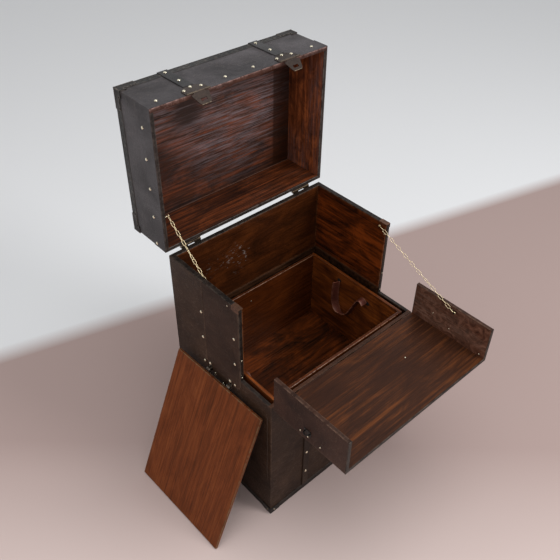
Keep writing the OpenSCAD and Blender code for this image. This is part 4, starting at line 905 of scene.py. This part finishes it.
section = rounded(PULL_W - 0.2, PULL_T - 0.1)
edge_wear = np.clip((np.abs(section[:, 0]) - (PULL_W / 2 - 3)) / 2.5, 0, 1) * 0.9
route = smooth([(y * PULL_SPAN, PULL_TOP - z * PULL_DROP) for y, z in PULL_ROUTE], 8)
parts, slot_shade_patches = [], []
for side in (-1, 1):
    path = np.stack([np.full(len(route), side * (TRAY_IN_X - PULL_W / 2)), route[:, 0], route[:, 1]], 1)
    twist = smooth([(u, v * side, w) for u, v, w in PULL_SIDES], 8)
    parts.append(sweep(path, section, twist, edge_wear))
    # At each place where a strap enters the wall, a dark patch is painted: painted shade standing for the slot's
    # opening.
    for y, z, w in PULL_SLOTS:
        us, vs = ticks([y - w, y + w], 1.5, (0.5, 1)), ticks([z - SLOT_H, z + SLOT_H], 1.5, (0.5, 1))
        slot_shade_patches.append(sheet("x" if side < 0 else "-x", -TRAY_IN_X, us, vs, hide(0.5, 0.4, 0.0),
                           lambda u, v: SLOT_H * (1 - np.hypot((u - y) / w, (v - z) / SLOT_H))))
make("tray_pull_straps", "tray", "leather_pull", parts, ["tray_pulls"])
make("tray_pull_slot_shade", "tray", "slot_painted_shade", slot_shade_patches)

# The loose board, drawn flat and then leaned on the handle's mount
lean, slew = asin((HANDLE_Z - REST_GAP) / PANEL_L), radians(PANEL_TURN)
panel_x = HALF_W + MOUNT_OUT + REST_GAP + (MOUNT_PIN_L / 2 + PANEL_Y - HANDLE_FRONT) * sin(slew)
PLACES["board"] = (Matrix.Translation(Vector((-panel_x - PANEL_L * cos(lean), PANEL_Y, REST_GAP)) * MM)
                   @ Matrix.Rotation(slew, 4, "Z") @ Matrix.Rotation(-lean, 4, "Y"))
parts = [slab((0, -PANEL_W / 2, 0), (PANEL_L, PANEL_W / 2, PANEL_T), 1.2, 20, 0.2, 91, 0.8, 1.2)]
make("loose_board_planed", "board", "loose_wood", parts, ["loose_board"])

# Carry handles: a padded leather grip with eyes round the pins, in a frame with Y along the case, X outwards


def grip():
    """The grip: a flat band below the pins, wide in its middle."""
    low, high = DROP - LEG, max(DROP - LEG - GRIP_W, 2)
    turn = np.radians(np.linspace(0, 180, 49))
    outer = np.stack([-(SPAN / 2 + EYE) * np.cos(turn), -LEG - low * np.sin(turn) ** 0.7], 1)
    inner = np.stack([-(SPAN / 2 - EYE) * np.cos(turn), -LEG - high * np.sin(turn)], 1)
    rise = np.linspace(0, 1, 6)[:, None]

    def legs(line, half):
        down, up = [-half, -1] + rise[:-1] * [0, -LEG + 1], [half, -LEG] + rise[1:] * [0, LEG - 1]
        return np.concatenate([down, line, up])

    rings, wears = [], []
    a = np.arange(20) * tau / 20
    c, s = np.cos(a), np.sin(a)
    c, s = np.sign(c) * np.abs(c) ** 0.75, np.sign(s) * np.abs(s) ** 0.75
    for o, i in zip(legs(outer, SPAN / 2 + EYE), legs(inner, SPAN / 2 - EYE)):
        mid, half = (o + i) / 2, (o - i) / 2
        ridge = 0.25 * np.exp(-((np.abs(c) - 0.72) / 0.08) ** 2) * (norm(half) > 6)
        rings.append(np.stack([(GRIP_T / 2 - ridge) * s, mid[0] + half[0] * c, mid[1] + half[1] * c], 1))
        wears.append(np.clip(np.abs(c) - 0.6, 0, 1) * 1.4)
    count = len(rings)
    faces = [tuple(range(20)), tuple(range((count - 1) * 20, count * 20))[::-1]]
    faces += [(f[0], f[3], f[2], f[1]) for n in range(count - 1) for f in bridge(n * 20, (n + 1) * 20, 20)]
    return np.concatenate(rings), faces, np.concatenate(wears)


def eye(y):
    """A leather eye round a pin, with its hole."""
    turn = np.linspace(0, tau, 25)[:-1]
    profile = [(2.15, -3.4), (3.0, -4), (4.4, -4), (5, -3.4), (5, 3.4), (4.4, 4), (3.0, 4), (2.15, 3.4)]
    rings = [np.stack([np.cos(turn) * r, np.full(24, y + h), np.sin(turn) * r], 1) for r, h in profile]
    faces = [f for n in range(8) for f in bridge(n * 24, (n + 1) % 8 * 24, 24)]
    return np.concatenate(rings), faces, np.full(8 * 24, 0.3)


def rivet(y):
    """A domed head on the grip's face."""
    turn = np.linspace(0, tau, 17)[:-1]
    profile = [(3.2, 0.0), (3.0, 0.6), (2.0, 1.0), (0.6, 1.15)]
    rings = [np.stack([np.full(16, 2.6 + h), y + r * np.cos(turn), r * np.sin(turn) - LEG - 13], 1)
             for r, h in profile]
    faces = [tuple(range(48, 64)), tuple(range(16))[::-1]]
    faces += [f for n in range(3) for f in bridge(n * 16, (n + 1) * 16, 16)]
    return np.concatenate(rings), faces, np.zeros(64)


def placed(part, side):
    points, faces, worn = part
    points = points * [side, 1, 1] + [side * PIN_X, HANDLE_Y, HANDLE_Z]
    return points, [f[::-1] for f in faces] if side < 0 else faces, worn


for side, name in ((-1, "left"), (1, "right")):
    parts = [placed(part, side) for part in (grip(), eye(-SPAN / 2), eye(SPAN / 2))]
    make(f"handle_grip_{name}", f"handle_{name}", "leather_grip", parts, [f"carry_handle_{name}"])
    parts = [placed(rivet(y), side) for y in (-26, 26)]
    make(f"handle_rivets_{name}", f"handle_{name}", "nail_brass", parts)

# Chains of bent wire, half on each body
LINK_W, CROSS_LINK_W, FLAT_LINK_W, PITCH, CHAIN_X = 9.0, 7.4, 6.8, 16.2, 290.0
# Each chain: its side, the lower half's share, its wire, and each half's body, node and ring
CHAINS = ((-1, 0.42, 0.85, (("lid_chain_low", "lid_chain_lower", 3.4), ("lid_chain_high", "lid_chain_upper", 4.4))),
          (1, 0.654, 0.65, (("flap_chain_high", "flap_chain_upper", 3.4),
                            ("flap_chain_low", "flap_chain_lower", 4.4))))


def link(start, end, tilt, wire, width):
    """One oval link, whose wire runs from start to end and back."""
    e = (end - start) / norm(end - start)
    side = cos(tilt) * np.cross(e, [1, 0, 0]) + sin(tilt) * np.array([1.0, 0, 0])
    r = width / 2 - wire
    half = norm(end - start) / 2 - r
    mid = (start + end) / 2
    turn = np.linspace(-pi / 2, pi / 2, 7)
    loop = [mid + e * (half + r * cos(a)) + side * r * sin(a) for a in turn]
    loop += [mid - e * (half + r * cos(a)) - side * r * sin(a) for a in turn]
    return tube(loop, wire, 7, True)


def chain(start, end, count, wire, pivot):
    """Links from start to end. At the chain's middle a flat link turns about the end of one that stands across."""
    step = (end - start) / count
    ahead = step / norm(step)
    links = []
    for i in range(count):
        before, after, tilt, width = wire, wire, 45 if i % 2 else -45, LINK_W
        if pivot == "end" and i == count - 1:
            after, tilt, width = 0, 90, CROSS_LINK_W
        if pivot == "start" and i == 0:
            before, tilt, width = 2 * wire + 0.1, 0, FLAT_LINK_W
        a, b = start + step * i - ahead * before, start + step * (i + 1) + ahead * after
        links.append(link(a, b, radians(tilt), wire, width))
    return links


def ring(centre, r):
    """A ring across the X axis."""
    normal = np.array([1.0, 0, 0])
    a = np.cross(normal, [0.2, 0.3, 0.9])
    a /= norm(a)
    b = np.cross(normal, a)
    return tube([centre + r * (cos(t) * a + sin(t) * b) for t in np.arange(20) * tau / 20],
                1.0, 8, True)


for side, share, wire, halves in CHAINS:
    a, b = [np.array(joints[body + "_fold"]["pos_m"]) / MM for body, _, _ in halves]
    a[0] = b[0] = side * CHAIN_X
    whole = norm(b - a)
    e = (b - a) / whole
    start, end, middle = a + e * 3, b - e * 3, a + e * whole * share
    runs = (start, middle, "end"), (middle, end, "start")
    for (body, node, r), stud, (low, high, pivot) in zip(halves, (a, b), runs):
        count = int(round(norm(high - low) / PITCH))
        parts = chain(low, high, count, wire, pivot) + [ring(stud, r)]
        make(body + "_links", body, "chain_brass", parts, [node], sharp=80)

# Stage: camera, floor, lamps
CAMERA_AT_M, CAMERA_AZ, CAMERA_EL, CAMERA_ROLL = (-1.1540, -1.1799, 2.1086), -42.489, 40.299, 0.894
CAMERA_LENS, SENSOR_W = 44.46, 36


def direction(azimuth, elevation):
    """From the trunk to a camera or lamp at these degrees."""
    a, e = radians(azimuth), radians(elevation)
    return Vector((sin(a) * cos(e), -cos(a) * cos(e), sin(e)))


back, roll = direction(CAMERA_AZ, CAMERA_EL), radians(CAMERA_ROLL)
side = Vector((0, 0, 1)).cross(back).normalized()
up = back.cross(side)
x_axis = side * cos(roll) + up * sin(roll)
y_axis = up * cos(roll) - side * sin(roll)
camera_data = bpy.data.cameras.new("camera")
camera_data.lens, camera_data.sensor_width = CAMERA_LENS, SENSOR_W
camera = add("camera", camera_data)
turn = Matrix((x_axis, y_axis, back)).transposed().to_4x4()
camera.matrix_world = Matrix.Translation(CAMERA_AT_M) @ turn
bpy.context.scene.camera = camera

# The floor is rosy near the trunk, paler towards the camera, and near white where the photo's wall stands
FLOOR_HALF_M, WALL_WAY, CAMERA_WAY = 9, (0.2534, 0.9674, 0), (-0.676, -0.737, 0)
net = Net("floor", 0.9)
far = net.node("VectorMath", {0: net.place, 1: WALL_WAY}, operation="DOT_PRODUCT").outputs["Value"]
close = net.node("VectorMath", {0: net.place, 1: CAMERA_WAY}, operation="DOT_PRODUCT").outputs["Value"]
# Painted light: the floor is painted paler towards the camera and darker near the trunk, a painted falloff of light.
floor_with_painted_falloff = net.mix(net.band(close, 0.1, 0.8), "#ae9893", "#dccac5")
net.done(net.mix(net.band(far, 0.80, 0.90), floor_with_painted_falloff, "#ecedef"), 0.9, [])
floor_mesh = bpy.data.meshes.new("floor")
corners = [(x * FLOOR_HALF_M, y * FLOOR_HALF_M, 0) for x, y in ((-1, -1), (1, -1), (1, 1), (-1, 1))]
floor_mesh.from_pydata(corners, [], [(0, 1, 2, 3)])
floor_mesh.materials.append(M["floor"])
add("floor", floor_mesh)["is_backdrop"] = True

# Lamps: azimuth, elevation, distance and size in metres, watts; all point at the trunk's middle
LAMP_TARGET_M = Vector((0, 0, 0.6))
for name, azimuth, elevation, distance, size, watts in (
        ("key", 28, 40, 4.6, 1.6, 90), ("overhead", -20, 80, 4.2, 3.2, 66), ("fill", -80, 30, 4.4, 3.0, 26)):
    data = bpy.data.lights.new(name, "AREA")
    data.shape, data.size, data.energy = "DISK", size, watts
    obj, away = add(name, data), direction(azimuth, elevation)
    obj.location = LAMP_TARGET_M + away * distance
    obj.rotation_mode = "QUATERNION"
    obj.rotation_quaternion = away.to_track_quat("Z", "Y")

# World: a soft white glow, seen by the camera, reflections and glass as the photo's grey
world = bpy.data.worlds.new("world")
bpy.context.scene.world = world
world.use_nodes = True
world.node_tree.nodes.clear()
net = Tree(world.node_tree)
ray = net.node("LightPath", {}).outputs
seen = ray["Is Camera Ray"]
for kind in ("Is Glossy Ray", "Is Transmission Ray"):
    seen = net.math("MAXIMUM", seen, ray[kind])
glow, show = [net.node("Background", {0: colour, 1: strength}).outputs[0]
              for colour, strength in (((1, 1, 1, 1), 0.5), (rgb("#d3d6d8"), 1.0))]
net.node("OutputWorld", {0: net.node("MixShader", {0: seen, 1: glow, 2: show}).outputs[0]})
bpy.context.scene.view_settings.view_transform = "Standard"

low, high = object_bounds()
